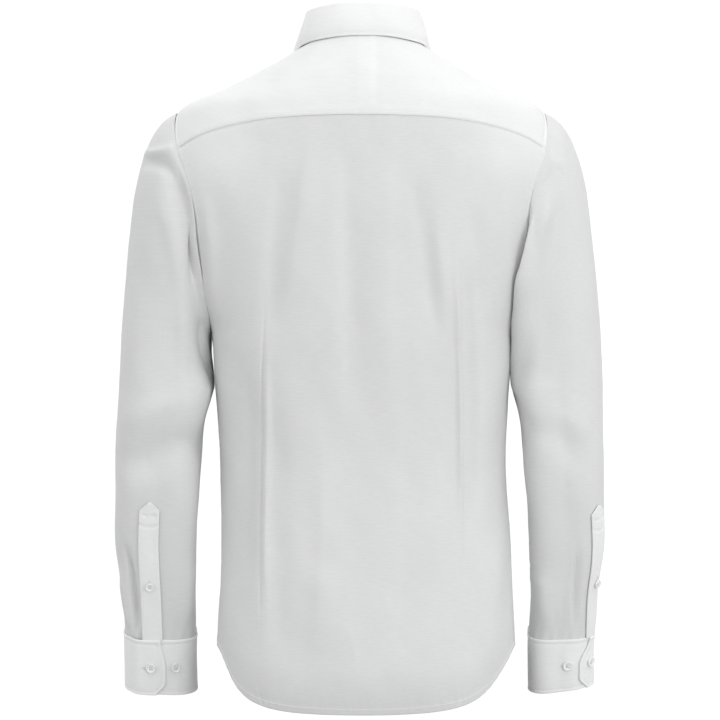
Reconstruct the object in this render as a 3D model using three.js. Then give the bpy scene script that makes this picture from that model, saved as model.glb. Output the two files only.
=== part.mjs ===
// A long-sleeved pique shirt that keeps the hollow form it has when it is worn. Millimetres, +Z up.
// The front faces -Y and the wearer's left side is +X. The origin is the middle of the neck, level with
// the back of the collar seam. Angles run round the body from the middle of the back (+Y) to +X.

import * as THREE from 'three';

// Cloth and seams
const CLOTH = 1.2; // single pique cloth
const DOUBLED = 2.0; // yoke, collar, cuffs and plackets are two layers
const SEAM_GAP = 0.3; // clear space between two pieces at a seam
const LAP_GAP = 0.5; // clear space between two layers that lie on each other
const SLEEVE_SEAM_GAP = 0.6; // the sleeve head turns sharply, so its seam is a little more open
const NECK_SEAM_GAP = 0.45; // and so is the collar's

// A table whose rows are read by the names of its columns. The first entry of a row is its own name.
function table(columns, rows) {
  return rows.map(([name, ...values]) => {
    const row = { name };
    columns.forEach((column, k) => {
      row[column] = values[k];
    });
    return row;
  });
}

// Rings round the body, from the collar seam down to the hem. The distances are of the cloth's inner face.
// shift is how far the ring hangs to the left, and tail is how far its fall from side to middle has turned
// into a shirt-tail curve.
const BODY_RINGS = table(
  ['side', 'back', 'front', 'zBack', 'zSide', 'zFront', 'power', 'shift', 'tail'],
  [
    ['neck', 65.5, 60, 64, 0, -10, -60, 2.4, 0, 0],
    ['collar bone', 100, 80, 86, -25, -30.5, -80, 2.2, 0, 0],
    ['shoulder', 146, 97, 102, -51, -55.5, -102, 2.2, 2, 0],
    ['shoulder point', 203, 107, 112, -80, -83, -128, 2.3, 2.5, 0],
    ['blades', 221, 114, 120, -138, -143, -175, 2.4, 2, 0],
    ['armhole', 212, 118, 126, -210, -214, -240, 2.4, 1, 0],
    ['armpit', 167.5, 116, 124, -318, -328, -330, 2.4, 0, 0],
    ['chest', 163, 111, 119, -382, -386, -386, 2.4, 0.6, 0],
    ['waist', 158.2, 105, 112, -482, -482, -482, 2.4, -0.3, 0],
    ['hip', 160.8, 109, 111, -585, -578, -583, 2.4, -3.4, 0.3],
    ['hem', 165.5, 116, 113, -743, -676, -736, 2.4, -4, 1],
  ],
);
const NECK = 0;
const SHOULDER_POINT = 3;
const ARMPIT = 6;
const HEM = BODY_RINGS.length - 1;
const TAIL_TURN = 0.405; // cosine of the angle where the hem is half way down its curve
const TAIL_SWAY = 0.03; // and how much sooner it falls on the left than on the right

// Waist darts and the softest, largest folds of the back: troughs are negative. Angles and widths are in
// degrees, and from and to are places down the table of rings.
const BACK_FOLDS = table(
  ['angle', 'width', 'from', 'to', 'height'],
  [
    ['left dart', 47, 7, 5.9, 9.6, -3.5],
    ['right dart', -47, 7, 5.2, 9.3, -3],
    ['left blade hollow', 36, 9, 4, 6.4, -2.5],
    ['spine hollow', 6, 8, 3.6, 7.5, -1.5],
    ['right blade hollow', -30, 8, 4.2, 6.6, -2.5],
    ['right blade ridge', -40, 7, 4.4, 6.4, 1.5],
  ],
);

// The armhole is a loop in angle and ring level: this much it cuts into the back and the front, in degrees
const ARMHOLE_BACK = { cut: 21.5, lowerCut: 6 };
const ARMHOLE_FRONT = { cut: 25, lowerCut: 7 };
const YOKE_BACK_END = 60; // where the yoke's back seam meets the armhole, in degrees round the loop
const YOKE_FRONT_END = -45; // where its front seam does
const YOKE_NECK_ANGLE = 115; // where the front seam meets the collar seam
const YOKE_NECK_SPLIT = 62; // where the lines from the back corners of the yoke meet the collar seam
const YOKE_LEVEL_MIDDLE = 3.23;
const YOKE_LEVEL_CURVE = 4; // how late the back seam turns down towards the armhole

// Front opening
const PLACKET_WIDTH = 32;
const FRONT_LAP = PLACKET_WIDTH / 2; // each front reaches this far past the middle
const TUCK = CLOTH + 0.9; // the right front lies this much further in where the left covers it
const TUCK_RUN = 26; // and eases in over this width
const BUTTON_DIAMETER = 11;
const BUTTON_THICKNESS = 2.6;
const BUTTON_HOLES = { count: 4, out: 0.14, radius: 0.075 }; // shares of the button's diameter
const FRONT_BUTTONS = { count: 6, first: -122, spacing: 92 }; // height of the highest, and the step down
const SMALL_BUTTON_DIAMETER = 9.5;

// Collar
const STAND_HEIGHT = { back: 31, side: 36.5, front: 27 };
const STAND_LEAN = 4; // the stand closes in by this much towards its top
const STAND_LAP = 16;
const STAND_LAP_START = 148; // degrees: from here the stand's right end eases in to pass under the left one
const LEAF_ROLL = 3; // radius of the fold at the collar's top
const LEAF_GAP = 0.95; // clear space where the leaf passes over the stand
const LEAF_END_TOP = 172; // degrees: where the leaf's front edge starts, just short of the middle
const LEAF_ROLL_SHARE = 0.22; // share of the leaf's rows that the fold takes
// The leaf's lower edge: how far down the body it reaches, and how far it stands off the cloth there
const LEAF_EDGE = table(
  ['angle', 'level', 'lift'],
  [
    ['back', 0, 0.17, 4],
    ['back quarter', 39, 0.13, 4],
    ['side', 78, 0.12, 4],
    ['front quarter', 117, 0.72, 4.2],
    ['point', 156, 2.08, 5],
  ],
);

// Sleeves: sections from the level of the armpit down to the cuff seam. outer and inner are distances from
// the middle of the body to the sleeve's two edges, on the left and on the right.
const SLEEVE_RINGS = table(
  ['z', 'outerLeft', 'innerLeft', 'outerRight', 'innerRight', 'y', 'depth', 'lean'],
  [
    ['underarm', -388, 271.4, 167.8, 266.8, 167.8, 0, 61, 0],
    ['above elbow', -432, 274, 179, 267, 177.5, 2, 56, 2],
    ['elbow', -478, 275.5, 183, 268.5, 180.5, 0, 52, 7],
    ['forearm', -546, 277, 188.5, 269.5, 188.5, -12, 46, 11],
    ['lower arm', -612, 271.5, 191, 261.5, 191, -27, 40, 13],
    ['cuff seam', -664, 268.5, 191.5, 258.5, 190, -39, 35, 13],
  ],
);
const UNDERARM_CLEARANCE = 2.6; // the underarm stands off the body's side by its own wall and a gap
const SLEEVE_SIZE = { columns: 24, headRows: 7, armRows: 7 };
const CUFF_SEAM = SLEEVE_RINGS.length; // the sleeve's reach: 0 at the armhole, 1 at the first ring
const HEAD_LEAVE = { top: [48, 0, -16], under: [4, 0, -13], side: [0, 9, -22] };
const HEAD_ARRIVE = { top: [8, 0, -170], under: [1, 0, -22] };

// Cuffs and sleeve plackets
const CUFF_HEIGHT = 64;
const CUFF_EASE = 0.6; // the cuff stands this much outside the sleeve's end
const CUFF_LAP = 34; // degrees that the two ends lie over each other
// The shape of the cuff's upper end, in degrees and in shares of its height
const CUFF_END = { topInset: 12, slantShare: 0.5, corner: 14, cornerShare: 0.3 };
const CUFF_BUTTON = { drop: 31, angle: -21 };
const SLEEVE_PLACKET_WIDTH = 21;
const SLEEVE_PLACKET_POINT = 9; // length of its pointed top
const PLACKET_TIP = 0.12; // share of its width that the tip keeps
const PLACKET_GAP = 0.85; // it lies on a sleeve that bends, so it stands a little further off
// Angles round the sleeve, in degrees from its outer edge towards the back: the middle of the placket at
// its point and at its foot, and where the upper end of the cuff stops. spare is how far past that end the
// second button sits, and cuffRise how much shorter the cuff looks at its outer edge. length is that of the
// placket, and button the height of its button above the cuff seam.
const SIDES = table(
  ['sign', 'outer', 'inner', 'placketTop', 'placketFoot', 'cuffEdge', 'spare', 'cuffRise', 'length',
    'button'],
  [
    ['left', 1, 'outerLeft', 'innerLeft', 85, 82, 101, 14, 0, 158, 64.5],
    ['right', -1, 'outerRight', 'innerRight', 45, 32, 63, 19, 8, 152, 63.5],
  ],
);

// Colours: the doubled pieces are whiter than the single cloth
const CLOTH_COLOUR = 0xe4e4e4;
const DOUBLED_COLOUR = 0xf6f6f6;
const BUTTON_COLOUR = 0xececea;

const radians = THREE.MathUtils.degToRad;
const lerp = THREE.MathUtils.lerp;

function easeBetween(value, low, high) {
  return THREE.MathUtils.smoothstep(value, low, high);
}

// The slope of a smooth curve where it passes from one rise to the next, level at every peak and dip
function steadySlope(before, after) {
  return before * after > 0 ? (2 * before * after) / (before + after) : 0;
}

// A table read between its rows, along a smooth curve that never swings past them
function readTable(rows, place) {
  const last = rows.length - 1;
  const index = Math.min(Math.max(Math.floor(place), 0), last - 1);
  const share = Math.min(Math.max(place, 0), last) - index;
  const around = [index - 1, index, index + 1, index + 2].map((k) => rows[Math.min(Math.max(k, 0), last)]);
  const result = {};
  for (const column of Object.keys(rows[0])) {
    if (column === 'name') continue;
    const [before, low, high, after] = around.map((row) => row[column]);
    const rise = high - low;
    const startSlope = index > 0 ? steadySlope(low - before, rise) : rise;
    const endSlope = index < last - 1 ? steadySlope(rise, after - high) : rise;
    const square = 3 * rise - 2 * startSlope - endSlope;
    const cube = startSlope + endSlope - 2 * rise;
    result[column] = low + share * (startSlope + share * (square + share * cube));
  }
  return result;
}

// The share, from 0 to 1, at which a falling height has come down to a value
function shareWhere(height, value) {
  let low = 0;
  let high = 1;
  for (let k = 0; k < 30; k += 1) {
    const middle = (low + high) / 2;
    if (height(middle) > value) low = middle;
    else high = middle;
  }
  return high;
}

// ---- The body's form -------------------------------------------------------------------------------

function foldHeight(angle, level) {
  let height = 0;
  for (const fold of BACK_FOLDS) {
    const across = (angle - radians(fold.angle)) / radians(fold.width);
    const middle = (fold.from + fold.to) / 2;
    const along = Math.abs(level - middle) / (fold.to - middle);
    if (along < 1) height += fold.height * Math.exp(-across * across) * (1 - along * along) ** 2;
  }
  return height;
}

// hand is -1 for the right side worked out as if it were the left, to be mirrored afterwards
function bodyPoint(angle, level, hand = 1) {
  const ring = readTable(BODY_RINGS, level);
  const cosine = Math.cos(angle);
  const sine = Math.sin(angle);
  const depth = cosine > 0 ? ring.back : ring.front;
  const sum = Math.abs(cosine / depth) ** ring.power + Math.abs(sine / ring.side) ** ring.power;
  const radius = sum ** (-1 / ring.power) + (cosine > 0 ? foldHeight(hand * angle, level) : 0);
  const roundFall = cosine * cosine;
  const tailTurn = TAIL_TURN - TAIL_SWAY * hand * sine;
  const tailFall = 1 / (1 + (tailTurn / Math.max(Math.abs(cosine), 0.01)) ** 4);
  const middle = cosine > 0 ? ring.zBack : ring.zFront;
  const fall = lerp(roundFall, tailFall, Math.min(Math.max(ring.tail, 0), 1));
  const height = lerp(ring.zSide, middle, fall);
  return new THREE.Vector3(radius * sine + hand * ring.shift, radius * cosine, height);
}

function bodyNormal(angle, level, hand = 1) {
  const step = 0.002;
  const lower = Math.min(Math.max(level, step), HEM - step);
  const across = bodyPoint(angle + step, lower, hand).sub(bodyPoint(angle - step, lower, hand));
  const down = bodyPoint(angle, lower + step, hand).sub(bodyPoint(angle, lower - step, hand));
  return across.cross(down).normalize();
}

// ---- Walls of cloth --------------------------------------------------------------------------------

// The share of a piece that a seam gap takes from its edge, measured along its middle
function trimShare(point, across, gap) {
  const steps = 24;
  let length = 0;
  let before = across ? point(0, 0.5) : point(0.5, 0);
  for (let k = 1; k <= steps; k += 1) {
    const next = across ? point(k / steps, 0.5) : point(0.5, k / steps);
    length += next.distanceTo(before);
    before = next;
  }
  return gap / length;
}

// A closed wall on the surface point(s, t), where s runs round the piece and t runs down it. The wall
// lies between the surface and its outer side. closed joins the first column to the last.
function clothWall({ point, columns, rows, thickness, lift = 0, closed = false, trim = SEAM_GAP / 2 }) {
  const sideTrim = closed ? 0 : trimShare(point, true, trim);
  const endTrim = trimShare(point, false, trim);
  const sAt = (i) => lerp(sideTrim, 1 - sideTrim, i / columns);
  const tAt = (j) => lerp(endTrim, 1 - endTrim, j / rows);
  const step = 1e-3;
  const normal = (s, t) => {
    const sLow = closed ? s - step : Math.max(s - step, 0);
    const sHigh = closed ? s + step : Math.min(s + step, 1);
    const across = point(sHigh, t).sub(point(sLow, t));
    const down = point(s, Math.min(t + step, 1)).sub(point(s, Math.max(t - step, 0)));
    return across.cross(down).normalize();
  };
  const columnCount = closed ? columns : columns + 1;
  const positions = [];
  for (const height of [lift + thickness, lift]) {
    for (let j = 0; j <= rows; j += 1) {
      for (let i = 0; i < columnCount; i += 1) {
        const place = point(sAt(i), tAt(j)).addScaledVector(normal(sAt(i), tAt(j)), height);
        positions.push(place.x, place.y, place.z);
      }
    }
  }
  const layer = columnCount * (rows + 1);
  const outer = (i, j) => j * columnCount + (i % columnCount);
  const inner = (i, j) => layer + outer(i, j);
  const faces = [];
  const quad = (a, b, c, d) => faces.push(a, b, c, a, c, d);
  for (let i = 0; i < columns; i += 1) {
    for (let j = 0; j < rows; j += 1) {
      quad(outer(i, j), outer(i + 1, j), outer(i + 1, j + 1), outer(i, j + 1));
      quad(inner(i, j), inner(i, j + 1), inner(i + 1, j + 1), inner(i + 1, j));
    }
    quad(outer(i, 0), inner(i, 0), inner(i + 1, 0), outer(i + 1, 0));
    quad(outer(i, rows), outer(i + 1, rows), inner(i + 1, rows), inner(i, rows));
  }
  for (let j = 0; j < rows && !closed; j += 1) {
    quad(outer(0, j), outer(0, j + 1), inner(0, j + 1), inner(0, j));
    quad(outer(columns, j), inner(columns, j), inner(columns, j + 1), outer(columns, j + 1));
  }
  const geometry = new THREE.BufferGeometry();
  geometry.setAttribute('position', new THREE.Float32BufferAttribute(positions, 3));
  geometry.setIndex(faces);
  geometry.computeVertexNormals();
  return geometry;
}

// A patch between four edges, each a function from 0 to 1 that gives a place as (angle, level)
function patch({ top, bottom, start, end }) {
  return (s, t) => {
    const ends = start(t).multiplyScalar(1 - s).add(end(t).multiplyScalar(s));
    const rails = top(s).multiplyScalar(1 - t).add(bottom(s).multiplyScalar(t));
    const corners = top(0).multiplyScalar((1 - s) * (1 - t)).add(top(1).multiplyScalar(s * (1 - t)));
    corners.add(bottom(0).multiplyScalar((1 - s) * t)).add(bottom(1).multiplyScalar(s * t));
    return ends.add(rails).sub(corners);
  };
}

// An edge in two stretches, which meet at the given share
function joinEdges(first, second, share) {
  return (u) => (u < share ? first(u / share) : second((u - share) / (1 - share)));
}

function onBody(places) {
  return (s, t) => {
    const place = places(s, t);
    return bodyPoint(place.x, place.y);
  };
}

// ---- Seam lines on the body ------------------------------------------------------------------------

// The left armhole: 0 at the shoulder point, 90 at the back, 180 at the armpit, -90 at the front
function armhole(degrees) {
  const turn = radians(degrees);
  const side = degrees > 0 ? ARMHOLE_BACK : ARMHOLE_FRONT;
  const cut = Math.sin(turn) * (side.cut - side.lowerCut * Math.cos(turn));
  const level = lerp(SHOULDER_POINT, ARMPIT, (1 - Math.cos(turn)) / 2);
  return new THREE.Vector2(radians(90 - cut), level);
}

function mirrored(place) {
  return new THREE.Vector2(-place.x, place.y);
}

const yokeBackCorner = armhole(YOKE_BACK_END);
const yokeFrontCorner = armhole(YOKE_FRONT_END);

function yokeFrontSeam(share) {
  return new THREE.Vector2(radians(YOKE_NECK_ANGLE), NECK).lerp(yokeFrontCorner, share);
}

function sideSeam(share) {
  return new THREE.Vector2(Math.PI / 2, lerp(ARMPIT, HEM, share));
}

// The edge of each front, the same distance past the middle all the way down
function frontEdge(level, lap) {
  return new THREE.Vector2(Math.PI + Math.asin(lap / readTable(BODY_RINGS, level).front), level);
}

// ---- Body pieces -----------------------------------------------------------------------------------

const BACK_SIZE = { columns: 16, armRows: 8, sideRows: 9 };
const YOKE_SIZE = { armColumns: 7, backColumns: 16, rows: 5 };
const FRONT_SIZE = { columns: 11, seamRows: 5, armRows: 8, sideRows: 9 };
const UNDERARM_ROW = 6.55; // inside a panel, the row that meets the armpit has dropped to this level

// How a row of a panel drops from its place on the armhole or side seam to its place inside the panel:
// share is 0 at the inside and 1 at the seam
function panelPlace(edge, insideLevel, insideAngle, share) {
  const spread = lerp(insideAngle, Math.PI / 2, share) + (edge.x - Math.PI / 2) * share ** 2;
  return new THREE.Vector2(spread, lerp(insideLevel, edge.y, share ** YOKE_LEVEL_CURVE));
}

function backPanel() {
  const rows = BACK_SIZE.armRows + BACK_SIZE.sideRows;
  const share = BACK_SIZE.armRows / rows;
  const seam = joinEdges((u) => armhole(lerp(YOKE_BACK_END, 180, u)), sideSeam, share);
  const middle = joinEdges(
    (u) => lerp(YOKE_LEVEL_MIDDLE, UNDERARM_ROW, u),
    (u) => lerp(UNDERARM_ROW, HEM, u),
    share,
  );
  const places = (s, t) => {
    const place = panelPlace(seam(t), middle(t), 0, Math.abs(2 * s - 1));
    return s < 0.5 ? mirrored(place) : place;
  };
  return clothWall({ point: onBody(places), columns: BACK_SIZE.columns, rows, thickness: CLOTH });
}

function yoke() {
  const columns = YOKE_SIZE.backColumns + 2 * YOKE_SIZE.armColumns;
  const armShare = YOKE_SIZE.armColumns / columns;
  // halfEdge runs from the middle of the back to the front corner, for one side of the yoke
  const halfEdge = (u, inner, outer) => (u < 1 - 2 * armShare ? inner(u / (1 - 2 * armShare))
    : outer((u - 1 + 2 * armShare) / (2 * armShare)));
  const neckHalf = (u) => halfEdge(
    u,
    (k) => new THREE.Vector2(radians(YOKE_NECK_SPLIT) * k, NECK),
    (k) => new THREE.Vector2(radians(lerp(YOKE_NECK_SPLIT, YOKE_NECK_ANGLE, k)), NECK),
  );
  const lowerHalf = (u) => halfEdge(
    u,
    (k) => panelPlace(yokeBackCorner, YOKE_LEVEL_MIDDLE, 0, k),
    (k) => armhole(lerp(YOKE_BACK_END, YOKE_FRONT_END, k)),
  );
  const bothSides = (half) => (s) => (s < 0.5 ? mirrored(half(1 - 2 * s)) : half(2 * s - 1));
  const places = patch({
    top: bothSides(neckHalf),
    bottom: bothSides(lowerHalf),
    start: (t) => mirrored(yokeFrontSeam(t)),
    end: yokeFrontSeam,
  });
  return clothWall({ point: onBody(places), columns, rows: YOKE_SIZE.rows, thickness: DOUBLED });
}

const frontRows = FRONT_SIZE.seamRows + FRONT_SIZE.armRows + FRONT_SIZE.sideRows;

// The level of a front's rows at the front edge, which the placket's rows share
function frontLevel(t) {
  const row = t * frontRows;
  if (row < FRONT_SIZE.seamRows) return (yokeFrontCorner.y * row) / FRONT_SIZE.seamRows;
  const armRow = (row - FRONT_SIZE.seamRows) / FRONT_SIZE.armRows;
  if (armRow < 1) return lerp(yokeFrontCorner.y, UNDERARM_ROW, armRow);
  return lerp(UNDERARM_ROW, HEM, (row - FRONT_SIZE.seamRows - FRONT_SIZE.armRows) / FRONT_SIZE.sideRows);
}

function leftFrontPlaces() {
  const seam = joinEdges(
    yokeFrontSeam,
    joinEdges(
      (u) => armhole(lerp(YOKE_FRONT_END, -180, u)),
      sideSeam,
      FRONT_SIZE.armRows / (FRONT_SIZE.armRows + FRONT_SIZE.sideRows),
    ),
    FRONT_SIZE.seamRows / frontRows,
  );
  return (s, t) => panelPlace(seam(t), frontLevel(t), frontEdge(frontLevel(t), FRONT_LAP).x, 1 - s);
}

// The right front is the left one mirrored, and eases inwards to pass under it at the middle
function frontPanel(side) {
  const places = leftFrontPlaces();
  const leftPoint = onBody(places);
  const rightPoint = (s, t) => {
    const place = places(1 - s, t);
    const point = bodyPoint(place.x, place.y, side.sign);
    const under = easeBetween(-point.x, -FRONT_LAP - TUCK_RUN, -FRONT_LAP - 2);
    point.addScaledVector(bodyNormal(place.x, place.y, side.sign), -TUCK * under);
    return point.setX(-point.x);
  };
  return clothWall({
    point: side.sign > 0 ? leftPoint : rightPoint,
    columns: FRONT_SIZE.columns,
    rows: frontRows,
    thickness: CLOTH,
  });
}

function frontPlacketPoint(s, t) {
  const level = frontLevel(t);
  return bodyPoint(lerp(frontEdge(level, -FRONT_LAP).x, frontEdge(level, FRONT_LAP).x, s), level);
}

function frontPlacket() {
  return clothWall({
    point: frontPlacketPoint,
    columns: 3,
    rows: frontRows,
    thickness: DOUBLED,
    lift: CLOTH + LAP_GAP,
  });
}

// ---- Collar ----------------------------------------------------------------------------------------

const standEnd = Math.PI + Math.asin(STAND_LAP / BODY_RINGS[NECK].front);

// The stand's inner face. share is 0 at its top and 1 at the collar seam. Its right end laps under the left.
function standPoint(angle, share, lapped = 1) {
  const seam = bodyPoint(angle, NECK);
  const end = Math.cos(angle) > 0 ? STAND_HEIGHT.back : STAND_HEIGHT.front;
  const tall = lerp(STAND_HEIGHT.side, end, Math.cos(angle) ** 2);
  const under = lapped * easeBetween(-angle, radians(STAND_LAP_START), 2 * Math.PI - standEnd);
  const inwards = DOUBLED + NECK_SEAM_GAP + STAND_LEAN * (1 - share) + under * (DOUBLED + LAP_GAP);
  const outwards = new THREE.Vector3(seam.x, seam.y, 0).normalize();
  const height = tall * (1 - share) + NECK_SEAM_GAP;
  return seam.addScaledVector(outwards, -inwards).setZ(seam.z + height);
}

function collarStand() {
  return clothWall({
    point: (s, t) => standPoint(lerp(-standEnd, standEnd, s), t),
    columns: 36,
    rows: 2,
    thickness: DOUBLED,
  });
}

// The leaf's inner face: over the top of the stand in a half round, then down and out to its edge
function leafPoint(s, t) {
  const side = 2 * s - 1;
  const edgeRow = readTable(LEAF_EDGE, Math.abs(side) * (LEAF_EDGE.length - 1));
  const topAngle = radians(LEAF_END_TOP) * side;
  const edgeAngle = radians(edgeRow.angle) * Math.sign(side);
  const top = standPoint(topAngle, 0, 0);
  const outwards = new THREE.Vector3(top.x, top.y, 0).normalize();
  const turn = Math.PI * Math.min(t / LEAF_ROLL_SHARE, 1);
  const rollTop = top.clone().addScaledVector(outwards, DOUBLED / 2 + LEAF_ROLL * (1 - Math.cos(turn)) / 2);
  rollTop.z += LEAF_GAP + LEAF_ROLL * 0.6 * Math.sin(turn);
  if (t <= LEAF_ROLL_SHARE) return rollTop;
  const edge = bodyPoint(edgeAngle, edgeRow.level);
  edge.addScaledVector(bodyNormal(edgeAngle, edgeRow.level), edgeRow.lift);
  const fall = (t - LEAF_ROLL_SHARE) / (1 - LEAF_ROLL_SHARE);
  return rollTop.lerp(edge, fall);
}

function collarLeaf() {
  return clothWall({ point: leafPoint, columns: 32, rows: 7, thickness: DOUBLED });
}

// ---- Sleeves ---------------------------------------------------------------------------------------

// A ring of the lower sleeve, as its centre and its two half widths
function sleeveSection(side, level) {
  const ring = readTable(SLEEVE_RINGS, level);
  const lean = radians(ring.lean);
  return {
    centre: new THREE.Vector3((ring[side.outer] + ring[side.inner]) / 2, ring.y, ring.z),
    across: new THREE.Vector3((ring[side.outer] - ring[side.inner]) / 2, 0, 0),
    back: new THREE.Vector3(0, Math.cos(lean), -Math.sin(lean)).multiplyScalar(ring.depth),
    down: new THREE.Vector3(0, -Math.sin(lean), -Math.cos(lean)),
  };
}

function onSection(section, angle, lift = 0) {
  const place = section.centre.clone();
  place.addScaledVector(section.across, Math.cos(angle) * (1 + lift / section.across.length()));
  return place.addScaledVector(section.back, Math.sin(angle) * (1 + lift / section.back.length()));
}

// A place on a sleeve of the left side: angle 0 is its outer edge and 90 degrees its back. reach is 0 at
// the armhole, 1 at the first ring and CUFF_SEAM at the last. The sleeve head is a curve from each point
// of the armhole to the first ring.
function sleevePoint(side, angle, reach) {
  if (reach >= 1) return onSection(sleeveSection(side, reach - 1), angle);
  const degrees = THREE.MathUtils.radToDeg(Math.atan2(Math.sin(angle), Math.cos(angle)));
  const start = armhole(degrees);
  const hand = side.sign;
  const high = (1 + Math.cos(angle)) / 2;
  const mix = ({ under, top }, weight) => new THREE.Vector3(...under).lerp(new THREE.Vector3(...top), weight);
  const leave = mix(HEAD_LEAVE, high ** 1.3);
  leave.y += HEAD_LEAVE.side[1] * Math.sin(angle);
  leave.z += HEAD_LEAVE.side[2] * Math.sin(angle) ** 2;
  const leaveSide = leave.clone().normalize();
  const bodySide = bodyNormal(start.x, start.y, hand);
  const from = bodyPoint(start.x, start.y, hand).addScaledVector(leaveSide, SLEEVE_SEAM_GAP);
  // where the sleeve leaves across the body's cloth it starts on that cloth, not beside it
  from.addScaledVector(bodySide, (DOUBLED + SEAM_GAP) * Math.max(leaveSide.dot(bodySide), 0));
  from.addScaledVector(bodySide, UNDERARM_CLEARANCE * (1 - high) ** 2);
  const to = onSection(sleeveSection(side, 0), angle);
  const arrive = to.clone().sub(mix(HEAD_ARRIVE, high));
  return new THREE.CubicBezierCurve3(from, from.clone().add(leave), arrive, to).getPoint(reach);
}

// Turns a surface of the left side into one for either side, with s running the outward way round
function forSide(side, surface) {
  return (s, t) => {
    const point = surface(side.sign > 0 ? 1 - s : s, t);
    return point.setX(point.x * side.sign);
  };
}

function sleeve(side) {
  const rows = SLEEVE_SIZE.headRows + SLEEVE_SIZE.armRows;
  const headShare = SLEEVE_SIZE.headRows / rows;
  const reach = joinEdges((u) => u, (u) => lerp(1, CUFF_SEAM, u), headShare);
  return clothWall({
    point: forSide(side, (s, t) => sleevePoint(side, 2 * Math.PI * s, reach(t))),
    columns: SLEEVE_SIZE.columns,
    rows,
    thickness: CLOTH,
    closed: true,
  });
}

// Where the upper end of the cuff stops: it slants out from the placket's edge and turns in at the bottom
function cuffEdge(side, share) {
  const placketEdge = side.placketFoot + CUFF_END.topInset;
  const slant = lerp(placketEdge, side.cuffEdge, easeBetween(share, 0, CUFF_END.slantShare));
  return radians(slant - CUFF_END.corner * easeBetween(share, 1 - CUFF_END.cornerShare, 1) ** 2);
}

// The cuff's inner face. It starts under its own lap, runs once round the wrist and ends on top.
function cuffPoint(side, angle, drop) {
  const section = sleeveSection(side, SLEEVE_RINGS.length - 1);
  const rise = (side.cuffRise * (1 + Math.cos(angle))) / 2;
  section.centre.addScaledVector(section.down, drop * (1 - rise / CUFF_HEIGHT));
  const edge = radians(side.cuffEdge);
  const over = easeBetween(angle, edge - radians(CUFF_LAP + 30), edge - radians(CUFF_LAP));
  return onSection(section, angle, CUFF_EASE + over * (DOUBLED + LAP_GAP));
}

function cuff(side) {
  const start = radians(side.cuffEdge - CUFF_LAP) - 2 * Math.PI;
  return clothWall({
    point: forSide(side, (s, t) => cuffPoint(side, lerp(start, cuffEdge(side, t), s), CUFF_HEIGHT * t)),
    columns: 28,
    rows: 3,
    thickness: DOUBLED,
  });
}

// The placket lies on the sleeve above the cuff, with a pointed top. share is 0 at the point.
function sleevePlacketPoint(side, across, share) {
  const last = SLEEVE_RINGS.length - 1;
  const height = SLEEVE_RINGS[last].z + side.length * (1 - share);
  const level = last * shareWhere((u) => readTable(SLEEVE_RINGS, last * u).z, height);
  const section = sleeveSection(side, level);
  const fromPoint = (share * side.length) / SLEEVE_PLACKET_POINT;
  const width = SLEEVE_PLACKET_WIDTH * lerp(PLACKET_TIP, 1, Math.min(fromPoint, 1));
  const middle = radians(lerp(side.placketTop, side.placketFoot, share));
  return onSection(section, middle + (across * width) / section.across.length());
}

function sleevePlacket(side) {
  return clothWall({
    point: forSide(side, (s, t) => sleevePlacketPoint(side, s - 0.5, t)),
    columns: 3,
    rows: 14,
    thickness: DOUBLED,
    lift: CLOTH + PLACKET_GAP,
    trim: SLEEVE_SEAM_GAP,
  });
}

// ---- Buttons ---------------------------------------------------------------------------------------

function buttonShape(diameter) {
  const disc = new THREE.Shape();
  disc.absarc(0, 0, diameter / 2, 0, 2 * Math.PI);
  for (let k = 0; k < BUTTON_HOLES.count; k += 1) {
    const hole = new THREE.Path();
    const turn = ((k + 0.5) * 2 * Math.PI) / BUTTON_HOLES.count;
    const out = BUTTON_HOLES.out * diameter;
    const radius = BUTTON_HOLES.radius * diameter;
    hole.absarc(out * Math.cos(turn), out * Math.sin(turn), radius, 0, 2 * Math.PI, true);
    disc.holes.push(hole);
  }
  const options = { depth: BUTTON_THICKNESS, curveSegments: 8, bevelEnabled: false };
  return new THREE.ExtrudeGeometry(disc, options);
}

// A button on a surface whose outward side is given by the turn from s to t, at a height above it
function buttonOn(surface, s, t, height, diameter) {
  const step = 0.004;
  const across = surface(s + step, t).sub(surface(s - step, t));
  const down = surface(s, t + step).sub(surface(s, t - step));
  const outwards = across.cross(down).normalize();
  const mesh = new THREE.Mesh(buttonShape(diameter));
  mesh.position.copy(surface(s, t).addScaledVector(outwards, height));
  mesh.quaternion.setFromUnitVectors(new THREE.Vector3(0, 0, 1), outwards);
  return mesh;
}

// ---- The shirt -------------------------------------------------------------------------------------

const shirt = new THREE.Group();

function addPiece(name, geometry, colour) {
  const material = new THREE.MeshStandardMaterial({ color: colour, roughness: 0.9, metalness: 0 });
  const mesh = new THREE.Mesh(geometry, material);
  mesh.name = name;
  shirt.add(mesh);
}

function addButton(name, mesh) {
  mesh.name = name;
  mesh.material = new THREE.MeshStandardMaterial({ color: BUTTON_COLOUR, roughness: 0.25, metalness: 0 });
  shirt.add(mesh);
}

addPiece('back_panel', backPanel(), CLOTH_COLOUR);
addPiece('yoke', yoke(), DOUBLED_COLOUR);
addPiece('front_placket', frontPlacket(), DOUBLED_COLOUR);
addPiece('collar_stand', collarStand(), DOUBLED_COLOUR);
addPiece('collar_leaf', collarLeaf(), DOUBLED_COLOUR);
for (const side of SIDES) {
  addPiece(`front_${side.name}`, frontPanel(side), CLOTH_COLOUR);
  addPiece(`sleeve_${side.name}`, sleeve(side), CLOTH_COLOUR);
  addPiece(`cuff_${side.name}`, cuff(side), DOUBLED_COLOUR);
  addPiece(`sleeve_placket_${side.name}`, sleevePlacket(side), DOUBLED_COLOUR);
}

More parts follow.
